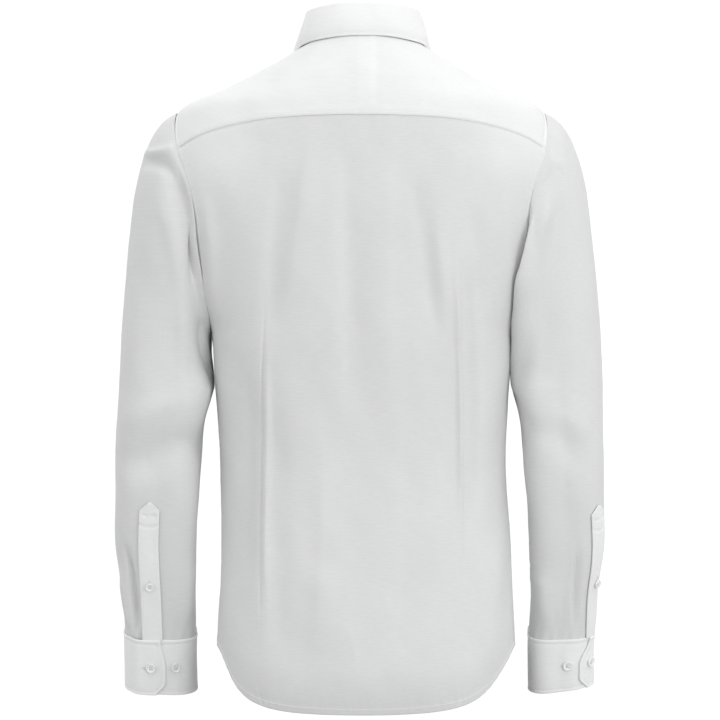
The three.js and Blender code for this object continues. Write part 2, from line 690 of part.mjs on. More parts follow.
const onCloth = CLOTH + DOUBLED + 2 * LAP_GAP;
for (let k = 0; k < FRONT_BUTTONS.count; k += 1) {
  const height = FRONT_BUTTONS.first - FRONT_BUTTONS.spacing * k;
  const share = shareWhere((t) => frontPlacketPoint(0.5, t).z, height);
  addButton(`button_front_${k + 1}`, buttonOn(frontPlacketPoint, 0.5, share, onCloth, BUTTON_DIAMETER));
}
const standSurface = (s, t) => standPoint(lerp(0, standEnd, s), t);
const onDoubled = DOUBLED + LAP_GAP;
addButton('button_collar', buttonOn(standSurface, Math.PI / standEnd, 0.5, onDoubled, BUTTON_DIAMETER));
for (const side of SIDES) {
  const cuffSurface = forSide(side, (s, t) => cuffPoint(side, 2 * Math.PI * (s - 0.5), CUFF_HEIGHT * t));
  const shareAt = (degrees) => (side.sign > 0 ? 0.5 - degrees / 360 : 0.5 + degrees / 360);
  const drop = CUFF_BUTTON.drop / CUFF_HEIGHT;
  const closing = shareAt(side.cuffEdge + CUFF_BUTTON.angle);
  const closingButton = buttonOn(cuffSurface, closing, drop, onDoubled, BUTTON_DIAMETER);
  addButton(`button_cuff_${side.name}_1`, closingButton);
  // the second button is sewn to the under layer, which carries on past the upper edge
  const underSurface = forSide(side, (s, t) => cuffPoint(side, 2 * Math.PI * (s - 1.5), CUFF_HEIGHT * t));
  const spare = shareAt(side.cuffEdge + side.spare);
  const spareButton = buttonOn(underSurface, spare, drop, onDoubled, BUTTON_DIAMETER);
  addButton(`button_cuff_${side.name}_2`, spareButton);
  const placketSurface = forSide(side, (s, t) => sleevePlacketPoint(side, s - 0.5, t));
  const height = 1 - side.button / side.length;
  const onSleeve = CLOTH + PLACKET_GAP + DOUBLED + LAP_GAP;
  const placketButton = buttonOn(placketSurface, 0.5, height, onSleeve, SMALL_BUTTON_DIAMETER);
  addButton(`button_placket_${side.name}`, placketButton);
}

export default shirt;
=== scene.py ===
# %% [markdown]
# # A long-sleeved pique shirt
# The shirt keeps the hollow form that it has when it is worn. The frame holds a plain version of each
# sewn piece. This lesson makes each of them again as real cloth: a thin wall on the same form, with folds,
# turned edges, rows of stitches and a fine pique weave. Lengths in the tables are in millimetres.

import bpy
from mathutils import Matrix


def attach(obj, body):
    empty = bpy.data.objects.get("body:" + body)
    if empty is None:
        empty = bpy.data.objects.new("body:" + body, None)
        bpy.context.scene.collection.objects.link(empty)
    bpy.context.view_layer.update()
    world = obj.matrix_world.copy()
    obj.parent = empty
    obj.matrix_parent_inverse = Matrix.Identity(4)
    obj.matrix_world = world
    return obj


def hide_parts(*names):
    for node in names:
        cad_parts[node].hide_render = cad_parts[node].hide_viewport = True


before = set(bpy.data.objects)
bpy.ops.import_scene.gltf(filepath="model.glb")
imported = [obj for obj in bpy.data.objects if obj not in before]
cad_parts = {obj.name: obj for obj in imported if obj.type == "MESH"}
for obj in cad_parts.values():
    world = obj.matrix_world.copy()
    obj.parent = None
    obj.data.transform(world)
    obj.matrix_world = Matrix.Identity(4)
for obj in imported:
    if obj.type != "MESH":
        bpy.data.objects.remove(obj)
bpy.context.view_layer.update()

# %% Tools
import math

import bpy
import numpy as np
from mathutils import Matrix, Vector

MM = 0.001
CLOTH = 1.2          # single pique cloth
DOUBLED = 2.0        # yoke, collar, cuffs and plackets are two layers
SEAM_GAP = 0.3
LAP_GAP = 0.5
random = np.random.default_rng(20)


def table(columns, *rows):
    return [dict(zip(["name"] + columns.split(), row)) for row in rows]


def lerp(low, high, share):
    return low + (high - low) * share


def ease(value, low, high):
    share = np.clip((value - low) / (high - low), 0, 1)
    return share * share * (3 - 2 * share)


def unit(vectors):
    length = np.linalg.norm(vectors, axis=-1, keepdims=True)
    return vectors / np.maximum(length, 1e-9)


# %% [markdown]
# ## The body's form
# A tailor measures a body in rings: neck, chest, waist, hip. The table has one ring a row, with its half
# width, its depth to the back and to the front, and how high it lies at the back, side and front. Read
# along a smooth curve, eleven rings give the whole body, so the form could also be lofted by hand between
# eleven circles, but a table keeps every sewn piece on exactly the same form.

# %% Rings round the body
BODY_RINGS = table(
    "side back front z_back z_side z_front power shift tail",
    ["neck", 65.5, 60, 64, 0, -10, -60, 2.4, 0, 0],
    ["collar bone", 100, 80, 86, -25, -30.5, -80, 2.2, 0, 0],
    ["shoulder", 146, 97, 102, -51, -55.5, -102, 2.2, 2, 0],
    ["shoulder point", 203, 107, 112, -80, -83, -128, 2.3, 2.5, 0],
    ["blades", 221, 114, 120, -138, -143, -175, 2.4, 2, 0],
    ["armhole", 212, 118, 126, -210, -214, -240, 2.4, 1, 0],
    ["armpit", 167.5, 116, 124, -318, -328, -330, 2.4, 0, 0],
    ["chest", 163, 111, 119, -382, -386, -386, 2.4, 0.6, 0],
    ["waist", 158.2, 105, 112, -482, -482, -482, 2.4, -0.3, 0],
    ["hip", 160.8, 109, 111, -585, -578, -583, 2.4, -3.4, 0.3],
    ["hem", 165.5, 116, 113, -743, -676, -736, 2.4, -4, 1],
)
NECK, SHOULDER_POINT, ARMPIT, HEM = 0, 3, 6, 10
TAIL_TURN, TAIL_SWAY = 0.405, 0.03

BACK_FOLDS = table(
    "angle width start end height",
    ["left dart", 47, 7, 5.9, 9.6, -3.5],
    ["right dart", -47, 7, 5.2, 9.3, -3],
    ["left blade hollow", 36, 9, 4, 6.4, -2.5],
    ["spine hollow", 6, 8, 3.6, 7.5, -1.5],
    ["right blade hollow", -30, 8, 4.2, 6.6, -2.5],
    ["right blade ridge", -40, 7, 4.4, 6.4, 1.5],
)


def read_table(rows, place):
    """A table read between its rows, along a smooth curve that never swings past them."""
    place = np.clip(np.asarray(place, float), 0, len(rows) - 1)
    index = np.minimum(place.astype(int), len(rows) - 2)
    share = place - index
    result = {}
    for column in rows[0]:
        if column == "name":
            continue
        values = np.array([row[column] for row in rows], float)
        rises = np.diff(values)
        before, after = rises[:-1], rises[1:]
        same = before * after > 0
        middle = np.where(same, 2 * before * after / np.where(same, before + after, 1), 0)
        slopes = np.concatenate([rises[:1], middle, rises[-1:]])
        low, rise = values[index], rises[index]
        start, end = slopes[index], slopes[index + 1]
        bend = 3 * rise - 2 * start - end + share * (start + end - 2 * rise)
        result[column] = low + share * (start + share * bend)
    return result


def body_point(angle, level, hand=1):
    """Angle 0 is the middle of the back; hand -1 is the right side, worked out as if it were the left."""
    ring = read_table(BODY_RINGS, level)
    cosine, sine = np.cos(angle), np.sin(angle)
    depth = np.where(cosine > 0, ring["back"], ring["front"])
    total = np.abs(cosine / depth) ** ring["power"] + np.abs(sine / ring["side"]) ** ring["power"]
    radius = total ** (-1 / ring["power"])
    for fold in BACK_FOLDS:
        across = (hand * angle - math.radians(fold["angle"])) / math.radians(fold["width"])
        middle = (fold["start"] + fold["end"]) / 2
        along = np.minimum(np.abs(level - middle) / (fold["end"] - middle), 1)
        height = fold["height"] * np.exp(-across * across) * (1 - along * along) ** 2
        radius = radius + np.where(cosine > 0, height, 0)
    turn = (TAIL_TURN - TAIL_SWAY * hand * sine) / np.maximum(np.abs(cosine), 0.01)
    fall = lerp(cosine * cosine, 1 / (1 + turn ** 4), np.clip(ring["tail"], 0, 1))
    height = lerp(ring["z_side"], np.where(cosine > 0, ring["z_back"], ring["z_front"]), fall)
    return np.stack([radius * sine + hand * ring["shift"], radius * cosine, height], axis=-1)


def body_normal(angle, level, hand=1):
    step = 0.002
    level = np.clip(level, step, HEM - step)
    across = body_point(angle + step, level, hand) - body_point(angle - step, level, hand)
    down = body_point(angle, level + step, hand) - body_point(angle, level - step, hand)
    return unit(np.cross(across, down))


print("waist half width", float(read_table(BODY_RINGS, 8)["side"]), "mm")

# %% [markdown]
# ## Seam lines
# The armhole is a loop on the body. The yoke, the back and the two fronts all end on it, so it is written
# once. Each place on the body is a pair: the angle round it, and the level down the table of rings. Curves
# could be drawn and projected instead, but two neighbours cut on one written line can't drift apart.

# %% Armhole, yoke seams and front edge
ARMHOLE_BACK, ARMHOLE_FRONT = (21.5, 6), (25, 7)
YOKE_BACK_END, YOKE_FRONT_END = 60, -45
YOKE_NECK_ANGLE, YOKE_NECK_SPLIT, YOKE_LEVEL_MIDDLE = 115, 62, 3.23
UNDERARM_ROW = 6.55
FRONT_LAP = 16


def armhole(degrees):
    turn = np.radians(degrees)
    back = np.asarray(degrees) > 0
    cut = np.where(back, ARMHOLE_BACK[0], ARMHOLE_FRONT[0])
    lower = np.where(back, ARMHOLE_BACK[1], ARMHOLE_FRONT[1])
    inwards = np.sin(turn) * (cut - lower * np.cos(turn))
    level = lerp(SHOULDER_POINT, ARMPIT, (1 - np.cos(turn)) / 2)
    return np.stack([np.radians(90 - inwards), level], axis=-1)


def pair(angle, level):
    return np.stack(np.broadcast_arrays(angle, level), axis=-1).astype(float)


def on_body(place, hand=1):
    return body_point(place[..., 0], place[..., 1], hand)


def join_edges(first, second, share, u):
    u = np.asarray(u, float)
    early = np.minimum(u, share) / share
    late = (np.maximum(u, share) - share) / (1 - share)
    return np.where((u < share)[..., None], first(early), second(late))


def panel_place(edge, inside_level, inside_angle, share):
    """Where a row of a panel lies on its way from the inside, at share 0, to the seam, at share 1."""
    angle = lerp(inside_angle, math.pi / 2, share) + (edge[..., 0] - math.pi / 2) * share ** 2
    return pair(angle, lerp(inside_level, edge[..., 1], share ** 4))


yoke_back_corner = armhole(YOKE_BACK_END)
yoke_front_corner = armhole(YOKE_FRONT_END)


def yoke_front_seam(share):
    share = np.asarray(share, float)[..., None]
    return lerp(np.array([math.radians(YOKE_NECK_ANGLE), NECK]), yoke_front_corner, share)


def side_seam(share):
    return pair(math.pi / 2, lerp(ARMPIT, HEM, np.asarray(share, float)))


def front_edge(level, lap):
    return math.pi + np.arcsin(lap / read_table(BODY_RINGS, level)["front"])


print("yoke meets the armhole at level", round(float(yoke_back_corner[1]), 2))

# %% [markdown]
# ## Folds, laid in one by one
# Real cloth shows a few long soft folds and some short sharp ones. Each row here is one fold, from an
# upper end to a lower end, seen from the back or the front of the shirt. Its width is the half width at
# which it fades, its height is negative in a trough, bow bends it sideways, and lean makes one flank
# steeper than the other. They could be sculpted, but written folds can be placed and repeated exactly.

# %% The folds
def folds(part, face, *rows):
    columns = "x1 z1 x2 z2 width height lean bow"
    return [{"part": part, "face": face, **fold} for fold in table(columns, *rows)]


BACK_FACE, FRONT_FACE = 1, -1
FOLDS = folds(
    "body", BACK_FACE,
    ["left dart seam", 106.5, -290, 111.5, -650, 1.5, -2, 0, -1],
    ["left dart flank", 101, -340, 104, -640, 4.2, 4, -0.3, -1],
    ["left dart outer shade", 128, -340, 130, -640, 18, -5.9, -0.3, 0],
    ["right dart seam", -103.5, -235, -110.5, -600, 1.8, -1.6, 0, 1],
    ["right dart flank", -99, -240, -106, -560, 5, 5.4, 0.3, 2],
    ["right dart shade", -113, -260, -119, -570, 9, -4.8, -0.3, 2],
    ["right side light", -140, -540, -142, -700, 14, 4.8, 0, 0],
    ["left blade light", 57, -115, 86, -320, 14, 4.2, 0.2, 4],
    ["left blade shade", 88, -140, 101, -330, 11, -4.2, 0.2, -2],
    ["spine shade", 22, -100, 16, -430, 13, -3.6, 0.3, 3],
    ["spine light", -27, -105, -31, -460, 15, 3.1, -0.2, -4],
    ["right blade shade", -56, -150, -84, -340, 11, -4.5, 0.3, -4],
    ["right blade light", -78, -200, -88, -335, 8, 3.4, 0, 2],
    ["right armhole shade", -119, -190, -124, -315, 9, -3.6, 0.2, 2],
    ["left armhole light", 172, -170, 161, -320, 8, 3.4, 0, 2],
    ["right armhole light", -158, -180, -160, -290, 8, 2, 0, -2],
    ["left low shade", 92, -520, 96, -700, 12, -2.2, 0.2, 3],
    ["right side hang", -139, -380, -133, -600, 12, 1.4, -0.2, -5],
    ["lower middle light", 44, -430, 50, -680, 17, 3.1, 0.3, 5],
    ["lower middle shade", -52, -450, -46, -690, 16, -2.5, 0.2, -4],
    ["left blade crown", 205, -150, 112, -146, 30, 2.6, 0, -6],
    ["right blade crown", -202, -148, -108, -142, 28, 2.2, 0, 6],
    ["low bright patch", 46, -575, 42, -680, 22, 3.1, 0, 0],
    ["tail crease one", -14, -600, -36, -662, 3, 0.5, 0.3, 2],
    ["tail crease two", -26, -628, -52, -676, 3, -0.5, 0, -2],
    ["tail crease three", 20, -640, 6, -690, 3.5, 0.4, 0, 2],
    ["left dart end pucker", 108, -632, 124, -652, 3, 0.7, 0, 1],
    ["right dart end pucker", -106, -596, -120, -612, 3, 0.5, 0, -1],
) + folds(
    "body", FRONT_FACE,
    ["front left chest hang", 62, -190, 74, -390, 14, -2.7, 0.3, 5],
    ["front left chest light", 88, -210, 97, -360, 10, 2.2, 0, -3],
    ["front left armhole drag", 158, -250, 108, -318, 8, -3.1, 0.3, -5],
    ["front left armhole ridge", 160, -232, 118, -290, 7, 2.4, 0, -4],
    ["front left waist hang", 70, -430, 60, -640, 15, 2.4, 0.2, -6],
    ["front left side hang", 124, -420, 118, -620, 12, -2.2, 0, 4],
    ["front left hem crease", 42, -640, 56, -700, 5, 1.2, 0, 2],
    ["front right chest hang", -54, -210, -66, -420, 13, -2.4, -0.3, -5],
    ["front right chest light", -86, -190, -92, -330, 11, 2.2, 0, 3],
    ["front right armhole drag", -156, -262, -112, -336, 8, -2.9, 0, 5],
    ["front right armhole ridge", -162, -238, -124, -302, 7, 2, 0, 4],
    ["front right waist hang", -64, -450, -72, -660, 14, 2, -0.2, 5],
    ["front right side hang", -122, -400, -114, -600, 12, -2, 0, -4],
    ["front right hem crease", -50, -650, -38, -706, 5, 1, 0, 2],
) + folds(
    "sleeve", BACK_FACE,
    ["left shoulder ridge", 196, -123, 246, -128, 5, 4.2, 0.2, 2],
    ["left shoulder hollow", 244, -140, 206, -156, 7, -6.5, 0.2, 6],
    ["left hollow run", 214, -142, 182, -275, 10, -10.5, 0.1, 7],
    ["left hollow foot", 186, -215, 169, -395, 12, -11, 0, 0],
    ["left hollow flank", 226, -170, 198, -300, 12, 2.6, 0.2, 6],
    ["left inner light", 196, -280, 198, -430, 6, 2.0, 0, -2],
    ["left inner arm", 195, -470, 200, -640, 8, 1.5, 0, 0],
    ["left elbow shade", 264, -486, 170, -442, 19, -9.5, 0, 8],
    ["left elbow ridge", 258, -434, 186, -398, 14, 3.4, 0, 6],
    ["left forearm shade", 246, -505, 232, -590, 10, -1.3, 0.2, 4],
    ["left pleat crease", 263, -560, 252, -668, 3.2, -7.5, 0.4, 2],
    ["left pleat flap", 267, -590, 258, -668, 3.6, 4.5, 0, 0],
    ["left cuff light", 201, -580, 204, -655, 5, 3.2, 0, 1],
    ["left cuff gather one", 194, -630, 195, -664, 2.4, -0.9, 0, 0],
    ["left cuff gather two", 211, -636, 210, -664, 2.4, -0.8, 0, 0],
    ["right shoulder bump", -201, -140, -222, -146, 5, 1.6, 0, 1],
    ["right shoulder crease", -206, -150, -193, -172, 4, -1.6, 0.2, 2],
    ["right hollow run", -205, -175, -180, -300, 10, 7.5, -0.2, -4],
    ["right hollow foot", -181, -255, -170, -400, 10, 9, 0, 0],
    ["right inner light", -186, -290, -190, -420, 9, 3.6, 0, 2],
    ["right inner arm", -194, -470, -198, -640, 8, 1.5, 0, 0],
    ["right underarm crease", -166, -386, -192, -440, 6, -1.6, 0.2, 4],
    ["right elbow shade", -242, -474, -180, -430, 14, -3.2, 0, -8],
    ["right elbow ridge", -246, -446, -204, -410, 10, 1.2, 0, -5],
    ["right placket fold", -238, -560, -235, -660, 3.4, -4.2, 0.4, -1],
    ["right forearm crease one", -184, -586, -204, -588, 2.2, -0.7, 0, 1],
    ["right forearm crease two", -187, -600, -210, -606, 2.6, 0.6, 0, 1],
    ["right cuff light", -206, -590, -209, -658, 6, 3.0, 0, 1],
    ["right cuff gather", -216, -632, -216, -664, 2.4, -0.8, 0, 0],
) + folds(
    "sleeve", FRONT_FACE,
    ["left front head hollow", 232, -150, 200, -250, 9, -3.9, 0.2, 6],
    ["left front head ridge", 240, -170, 220, -270, 8, 2.4, 0, 4],
    ["left front elbow one", 258, -452, 196, -478, 8, -3.6, 0.3, 6],
    ["left front elbow two", 254, -484, 198, -500, 7, -2.8, 0.2, 5],
    ["left front elbow ridge", 256, -468, 200, -490, 6, 2.4, 0, 5],
    ["left front forearm", 226, -530, 234, -640, 9, 2.1, 0.2, -3],
    ["right front head hollow", -230, -155, -202, -262, 9, -3.6, 0, -6],
    ["right front head ridge", -238, -178, -218, -280, 8, 2.2, 0, -4],
    ["right front elbow one", -252, -446, -194, -470, 8, -3.3, 0.3, -6],
    ["right front elbow two", -250, -480, -196, -498, 7, -2.7, 0, -5],
    ["right front elbow ridge", -250, -462, -198, -484, 6, 2.2, 0, -5],
    ["right front forearm", -222, -540, -228, -650, 9, 2, -0.2, 3],
)


def fold_height(points, normals, part):
    height = np.zeros(points.shape[:-1])
    for fold in FOLDS:
        if fold["part"] != part:
            continue
        run = np.array([fold["x2"] - fold["x1"], fold["z2"] - fold["z1"]], float)
        length = np.linalg.norm(run)
        run /= length
        x, z = points[..., 0] - fold["x1"], points[..., 2] - fold["z1"]
        along = (x * run[0] + z * run[1]) / length
        across = x * run[1] - z * run[0] - fold["bow"] * 4 * along * (1 - along)
        width = fold["width"] * (1 + fold["lean"] * np.sign(across))
        ends = ease(along, -0.05, 0.3) * ease(1 - along, -0.05, 0.35)
        facing = ease(fold["face"] * normals[..., 1], 0.02, 0.3)
        height += fold["height"] * np.exp(-(across / width) ** 2) * ends * facing
    return height


print(len(FOLDS), "folds, up to", max(abs(fold["height"]) for fold in FOLDS), "mm high or deep")

# %% [markdown]
# ## The slow unevenness of hung cloth
# Between the folds, cloth is never quite flat. A sum of a few long waves in seeded directions gives that.
# Blender's displace modifier with a clouds texture would too, but the waves can be read at any place, so
# neighbouring pieces move together and no seam opens.

# %% Waves
WAVES = [
    (unit(random.normal(size=3) * [1, 1, 0.45]) / length, random.uniform(0, 2 * math.pi), height)
    for length, height in [(88, 0.5), (71, 0.42), (59, 0.36), (46, 0.3), (37, 0.24), (29, 0.16), (22, 0.1)]
    for _ in range(3)
]


WAVE_SHARE = 0.45
FULL_INSIDE, FULL_OUTSIDE, HELD_FLATTER = 10, 3, 7
FULL_FROM_RIGHT, FULL_FROM_LEFT, FULL_RUN = 110, 240, 100
HELD_FROM, HELD_TO, HELD_RUN = 260, 400, 40


def fullness(points, normals):
    """A hanging sleeve is fuller than an oval at its inner and outer corners, but flatter where the body
    holds it, just under the armhole."""
    hand, down = np.sign(points[..., 0]), -points[..., 2]
    start = np.where(hand < 0, FULL_FROM_RIGHT, FULL_FROM_LEFT)
    low = ease(down, start, start + FULL_RUN)
    held = ease(down, HELD_FROM, HELD_FROM + HELD_RUN) * (1 - ease(down, HELD_TO - HELD_RUN, HELD_TO))
    turn = np.degrees(np.arctan2(normals[..., 1], -normals[..., 0] * hand))
    corner = np.sin(np.radians(2 * np.clip(turn, 0, 180))) ** 2
    return low * corner * np.where(turn < 90, FULL_INSIDE - HELD_FLATTER * held, FULL_OUTSIDE)


def drape(points, normals, part):
    """How far the cloth moves outwards at these places, in millimetres."""
    height = fold_height(points, normals, part)
    if part == "sleeve":
        height += fullness(points, normals)
    for direction, start, size in WAVES:
        height += size * WAVE_SHARE * np.sin(2 * math.pi * points @ direction + start)
    return height


print(len(WAVES), "waves")

# %% [markdown]
# ## A wall of cloth
# Every piece is a closed thin wall: an outer face, an inner face and a rim. The rows and columns of its
# grid lie close together near the edges, at fixed distances in millimetres, so that a turned edge, a lap
# or a stitch line is as wide as the sewing machine makes it all the way along. A plane with Solidify and
# loop cuts would do for one flat piece, but not for a lap that lifts over its neighbour.

# %% Spread the grid
EDGE = np.array([0, 0.35, 0.8, 1.5, 2.5, 3.6, 5, 5.8, 6.6, 7.6, 9.5])
LIP = np.array([-1.4, -1.0, -0.5])


def shares_for(lengths, start, end, count):
    lengths = np.asarray(lengths, float)[:, None]
    fit = np.minimum(1, lengths / (2.2 * (start[-1] + end[-1] + 1)))
    head = start[None, :] * fit / lengths
    tail = 1 - end[None, ::-1] * fit / lengths
    middle = np.linspace(0, 1, count + 1)[None, 1:-1]
    return np.concatenate([head, head[:, -1:] + (tail[:, :1] - head[:, -1:]) * middle, tail], axis=1)


def lengths_of(points, axis):
    step = np.linalg.norm(np.diff(points, axis=axis), axis=-1)
    return step.sum(axis=axis)


CROWD_COLUMNS, CROWD_DENSITY, CROWD_WIDTH = 12, 3.2, 0.016
CROWD_TOP, CROWD_RUN = 300, 340


def crowd_columns(s_rows, first, last, points, coarse, lines):
    """Moves the columns between first and last closer together beside lines of x at the top and foot."""
    fine = np.linspace(0, 1, 800)
    for row, line in zip(s_rows, points):
        low, high = row[first], row[last]
        density = np.ones_like(fine)
        for top, foot in lines:
            share = np.clip((-line[:, 2].mean() - CROWD_TOP) / CROWD_RUN, 0, 1)
            at = np.interp(lerp(top, foot, share), line[:, 0], coarse)
            aside = fine - (at - low) / (high - low)
            density += CROWD_DENSITY * np.exp(-((aside / CROWD_WIDTH) ** 2))
        run = np.cumsum(density)
        run = (run - run[0]) / (run[-1] - run[0])
        u = np.linspace(0, 1, last - first + 1)
        row[first:last + 1] = low + (high - low) * np.interp(u, run, fine)


def spread_grid(surface, step, sides, ends, closed=False, crowd=()):
    """Shares s and t for each row and column. sides and ends are pairs of distances from the edges."""
    coarse = np.linspace(0, 1, 49)
    s, t = np.meshgrid(coarse, coarse)
    points = surface(s, t)
    row_lengths, column_lengths = lengths_of(points, 1), lengths_of(points, 0)
    rows = max(int((column_lengths.max() - ends[0][-1] - ends[1][-1]) / step), 2)
    t_middle = shares_for([column_lengths.mean()], *ends, rows)[0]
    if closed:
        columns = int(row_lengths.max() / step)
        s_rows = np.repeat(np.linspace(0, 1, columns + 1)[None, :-1], len(t_middle), axis=0)
    else:
        columns = max(int((row_lengths.max() - sides[0][-1] - sides[1][-1]) / step), 2)
        columns += CROWD_COLUMNS * len(crowd)
        s_rows = shares_for(np.interp(t_middle, coarse, row_lengths), *sides, columns)
        if crowd:
            lines = surface(*np.meshgrid(coarse, np.clip(t_middle, 0, 1)))
            last = s_rows.shape[1] - len(sides[1])
            crowd_columns(s_rows, len(sides[0]) - 1, last, lines, coarse, crowd)
    s_middle = s_rows[len(s_rows) // 2]
    t_columns = shares_for(np.interp(s_middle, coarse, column_lengths), *ends, rows)
    return s_rows, t_columns.T


# %% Normals and distances on a grid
def grid_normals(points, closed):
    if closed:
        across = np.roll(points, -1, axis=1) - np.roll(points, 1, axis=1)
    else:
        across = np.gradient(points, axis=1)
    return unit(np.cross(across, np.gradient(points, axis=0)))


def run_from_edge(points, axis):
    step = np.linalg.norm(np.diff(points, axis=axis), axis=-1)
    run = np.cumsum(step, axis=axis)
    first = np.zeros_like(np.take(run, [0], axis=axis))
    return np.concatenate([first, run], axis=axis)


# %% Turn a grid into a mesh
def add_object(name, data):
    made = bpy.data.objects.new(name, data)
    bpy.context.scene.collection.objects.link(made)
    return made


CLOSING_STEP = 0.003       # metres from a tube's last column round to its first


def wall_mesh(name, inner, outer, weave, whiteness_and_painted_light, closed):
    rows, columns = inner.shape[:2]
    index = np.arange(rows * columns).reshape(rows, columns)
    deep = index + rows * columns
    if closed:
        index = np.concatenate([index, index[:, :1]], axis=1)
        deep = np.concatenate([deep, deep[:, :1]], axis=1)

    def quads(a, b, c, d):
        return np.stack([a.ravel(), b.ravel(), c.ravel(), d.ravel()], axis=1)

    faces = [
        quads(index[:-1, :-1], index[:-1, 1:], index[1:, 1:], index[1:, :-1]),
        quads(deep[:-1, :-1], deep[1:, :-1], deep[1:, 1:], deep[:-1, 1:]),
        quads(index[0, :-1], deep[0, :-1], deep[0, 1:], index[0, 1:]),
        quads(index[-1, :-1], index[-1, 1:], deep[-1, 1:], deep[-1, :-1]),
    ]
    if not closed:
        faces.append(quads(index[:-1, 0], index[1:, 0], deep[1:, 0], deep[:-1, 0]))
        faces.append(quads(index[:-1, -1], deep[:-1, -1], deep[1:, -1], index[1:, -1]))
    faces = np.concatenate(faces)
    points = np.concatenate([outer.reshape(-1, 3), inner.reshape(-1, 3)]) * MM
    mesh = bpy.data.meshes.new(name)
    mesh.from_pydata(points.tolist(), [], faces.tolist())
    mesh.polygons.foreach_set("use_smooth", np.ones(len(faces), bool))
    corners = np.tile(weave.reshape(-1, 2), (2, 1))[faces]
    if closed:
        width = weave[..., 0].max() + CLOSING_STEP
        low = corners[..., 0] < width / 2
        crossing = (np.abs(corners[..., 0] - corners[:, :1, 0]) > 0.1).any(axis=1)
        corners[crossing, :, 0] += np.where(low[crossing], width, 0)
    mesh.uv_layers.new(name="weave").data.foreach_set("uv", corners.astype(np.float32).ravel())
    spread = mesh.attributes.new("whiteness_and_painted_light", "FLOAT", "POINT")
    spread.data.foreach_set("value", np.tile(whiteness_and_painted_light.ravel(), 2).astype(np.float32))
    mesh.update()
    return add_object(name, mesh)


# %% Build one piece of cloth
def cloth_piece(name, surface, thickness, step, lift=0, closed=False, sides=(EDGE, EDGE),
                ends=(EDGE, EDGE), part="body", relief=None, shape=None, crowd=()):
    """relief(d) gives what is added to the outer face and to the inner face, and how white the cloth is: 1
    for a single layer, about 2 for two, with painted highlight and painted shade added in places. d holds the
    distances from the four edges, and s and t."""
    s, t = spread_grid(surface, step, sides, ends, closed, crowd)
    base = surface(s, t)
    normals = grid_normals(base, closed)
    down, across = run_from_edge(base, 0), run_from_edge(base, 1)
    d = {"s": s, "t": t, "points": base, "across": across, "down": down}
    d["top"] = down + ends[0][0]
    d["bottom"] = down[-1:] - down + ends[1][0]
    d["start"] = across + (0 if closed else sides[0][0])
    d["end"] = across[:, -1:] - across + (0 if closed else sides[1][0])
    outer_more, inner_more, whiteness_and_painted_light = relief(d) if relief else (0, 0, 1)
    near = np.minimum(d["top"] - ends[0][0], d["bottom"] - ends[1][0])
    if not closed:
        near = np.minimum(near, np.minimum(d["start"] - sides[0][0], d["end"] - sides[1][0]))
    radius = thickness / 2
    round_off = radius * (1 - np.sqrt(1 - (1 - np.clip(near / radius, 0, 1)) ** 2 * 0.85))
    offset = drape(base, normals, part)
    if part == "sleeve" and closed:
        offset = offset * ease(d["top"], 0, 9)
    if shape is not None:
        offset = offset + shape(d, normals)
    inner = base + normals * (lift + offset + inner_more + round_off)[..., None]
    outer = base + normals * (lift + offset + thickness + outer_more - round_off)[..., None]
    weave = np.stack([across, -base[..., 2] if closed else down], axis=-1) * MM
    piece = wall_mesh(name, inner, outer, weave, np.broadcast_to(whiteness_and_painted_light, near.shape), closed)
    area = 0.5 * sum(p.area for p in piece.data.polygons)
    print(f"{name}: {2 * len(piece.data.polygons)} triangles, {area:.4f} square metres of cloth")
    return {"piece": piece, "outer": outer, "normals": grid_normals(outer, closed), "closed": closed,
            "single": thickness == CLOTH, **d}


# %% [markdown]
# ## A row of stitches
# A machine stitch is a short plump grain of thread, pulled a little into the cloth. One grain has fourteen
# corners and twenty-four faces. It is laid again and again along a line on the finished cloth, so it
# always lies on the real surface, whatever fold passes under it.

# %% Lay stitches along a line
PITCH, STITCH_LENGTH, STITCH_WIDTH, STITCH_HEIGHT = 2.7, 2.15, 0.62, 0.3


def stitch_grain():
    """Rings of four corners across the run, and two tips."""
    places = [(-0.5, 0, 0.15)]
    for along, size in [(-0.36, 0.75), (0, 1), (0.36, 0.75)]:
        for turn in range(4):
            a = math.pi / 4 + turn * math.pi / 2
            places.append((along, 0.5 * size * math.cos(a) * 1.4, size * (0.5 + 0.7 * math.sin(a))))
    places.append((0.5, 0, 0.15))
    faces = [(0, 1 + (k + 1) % 4, 1 + k) for k in range(4)]
    for ring in (0, 1):
        for k in range(4):
            a, b = 1 + 4 * ring + k, 1 + 4 * ring + (k + 1) % 4
            faces += [(a, b, b + 4), (a, b + 4, a + 4)]
    faces += [(13, 9 + k, 9 + (k + 1) % 4) for k in range(4)]
    return np.array(places), np.array(faces)


GRAIN_POINTS, GRAIN_FACES = stitch_grain()
SUNK = 0.06
print("one stitch:", len(GRAIN_POINTS), "corners and", len(GRAIN_FACES), "faces")


def resample(line, normals, pitch):
    """The middle of each stitch, the way that it runs and the way that the cloth faces there."""
    run = np.concatenate([[0], np.cumsum(np.linalg.norm(np.diff(line, axis=0), axis=1))])
    middles = (np.arange(int(run[-1] / pitch)) + 0.5) * pitch
    read = lambda at, values: np.stack([np.interp(at, run, values[:, k]) for k in range(3)], axis=1)
    ahead, behind = read(middles + 0.8, line), read(middles - 0.8, line)
    return read(middles, line), unit(ahead - behind), unit(read(middles, normals))


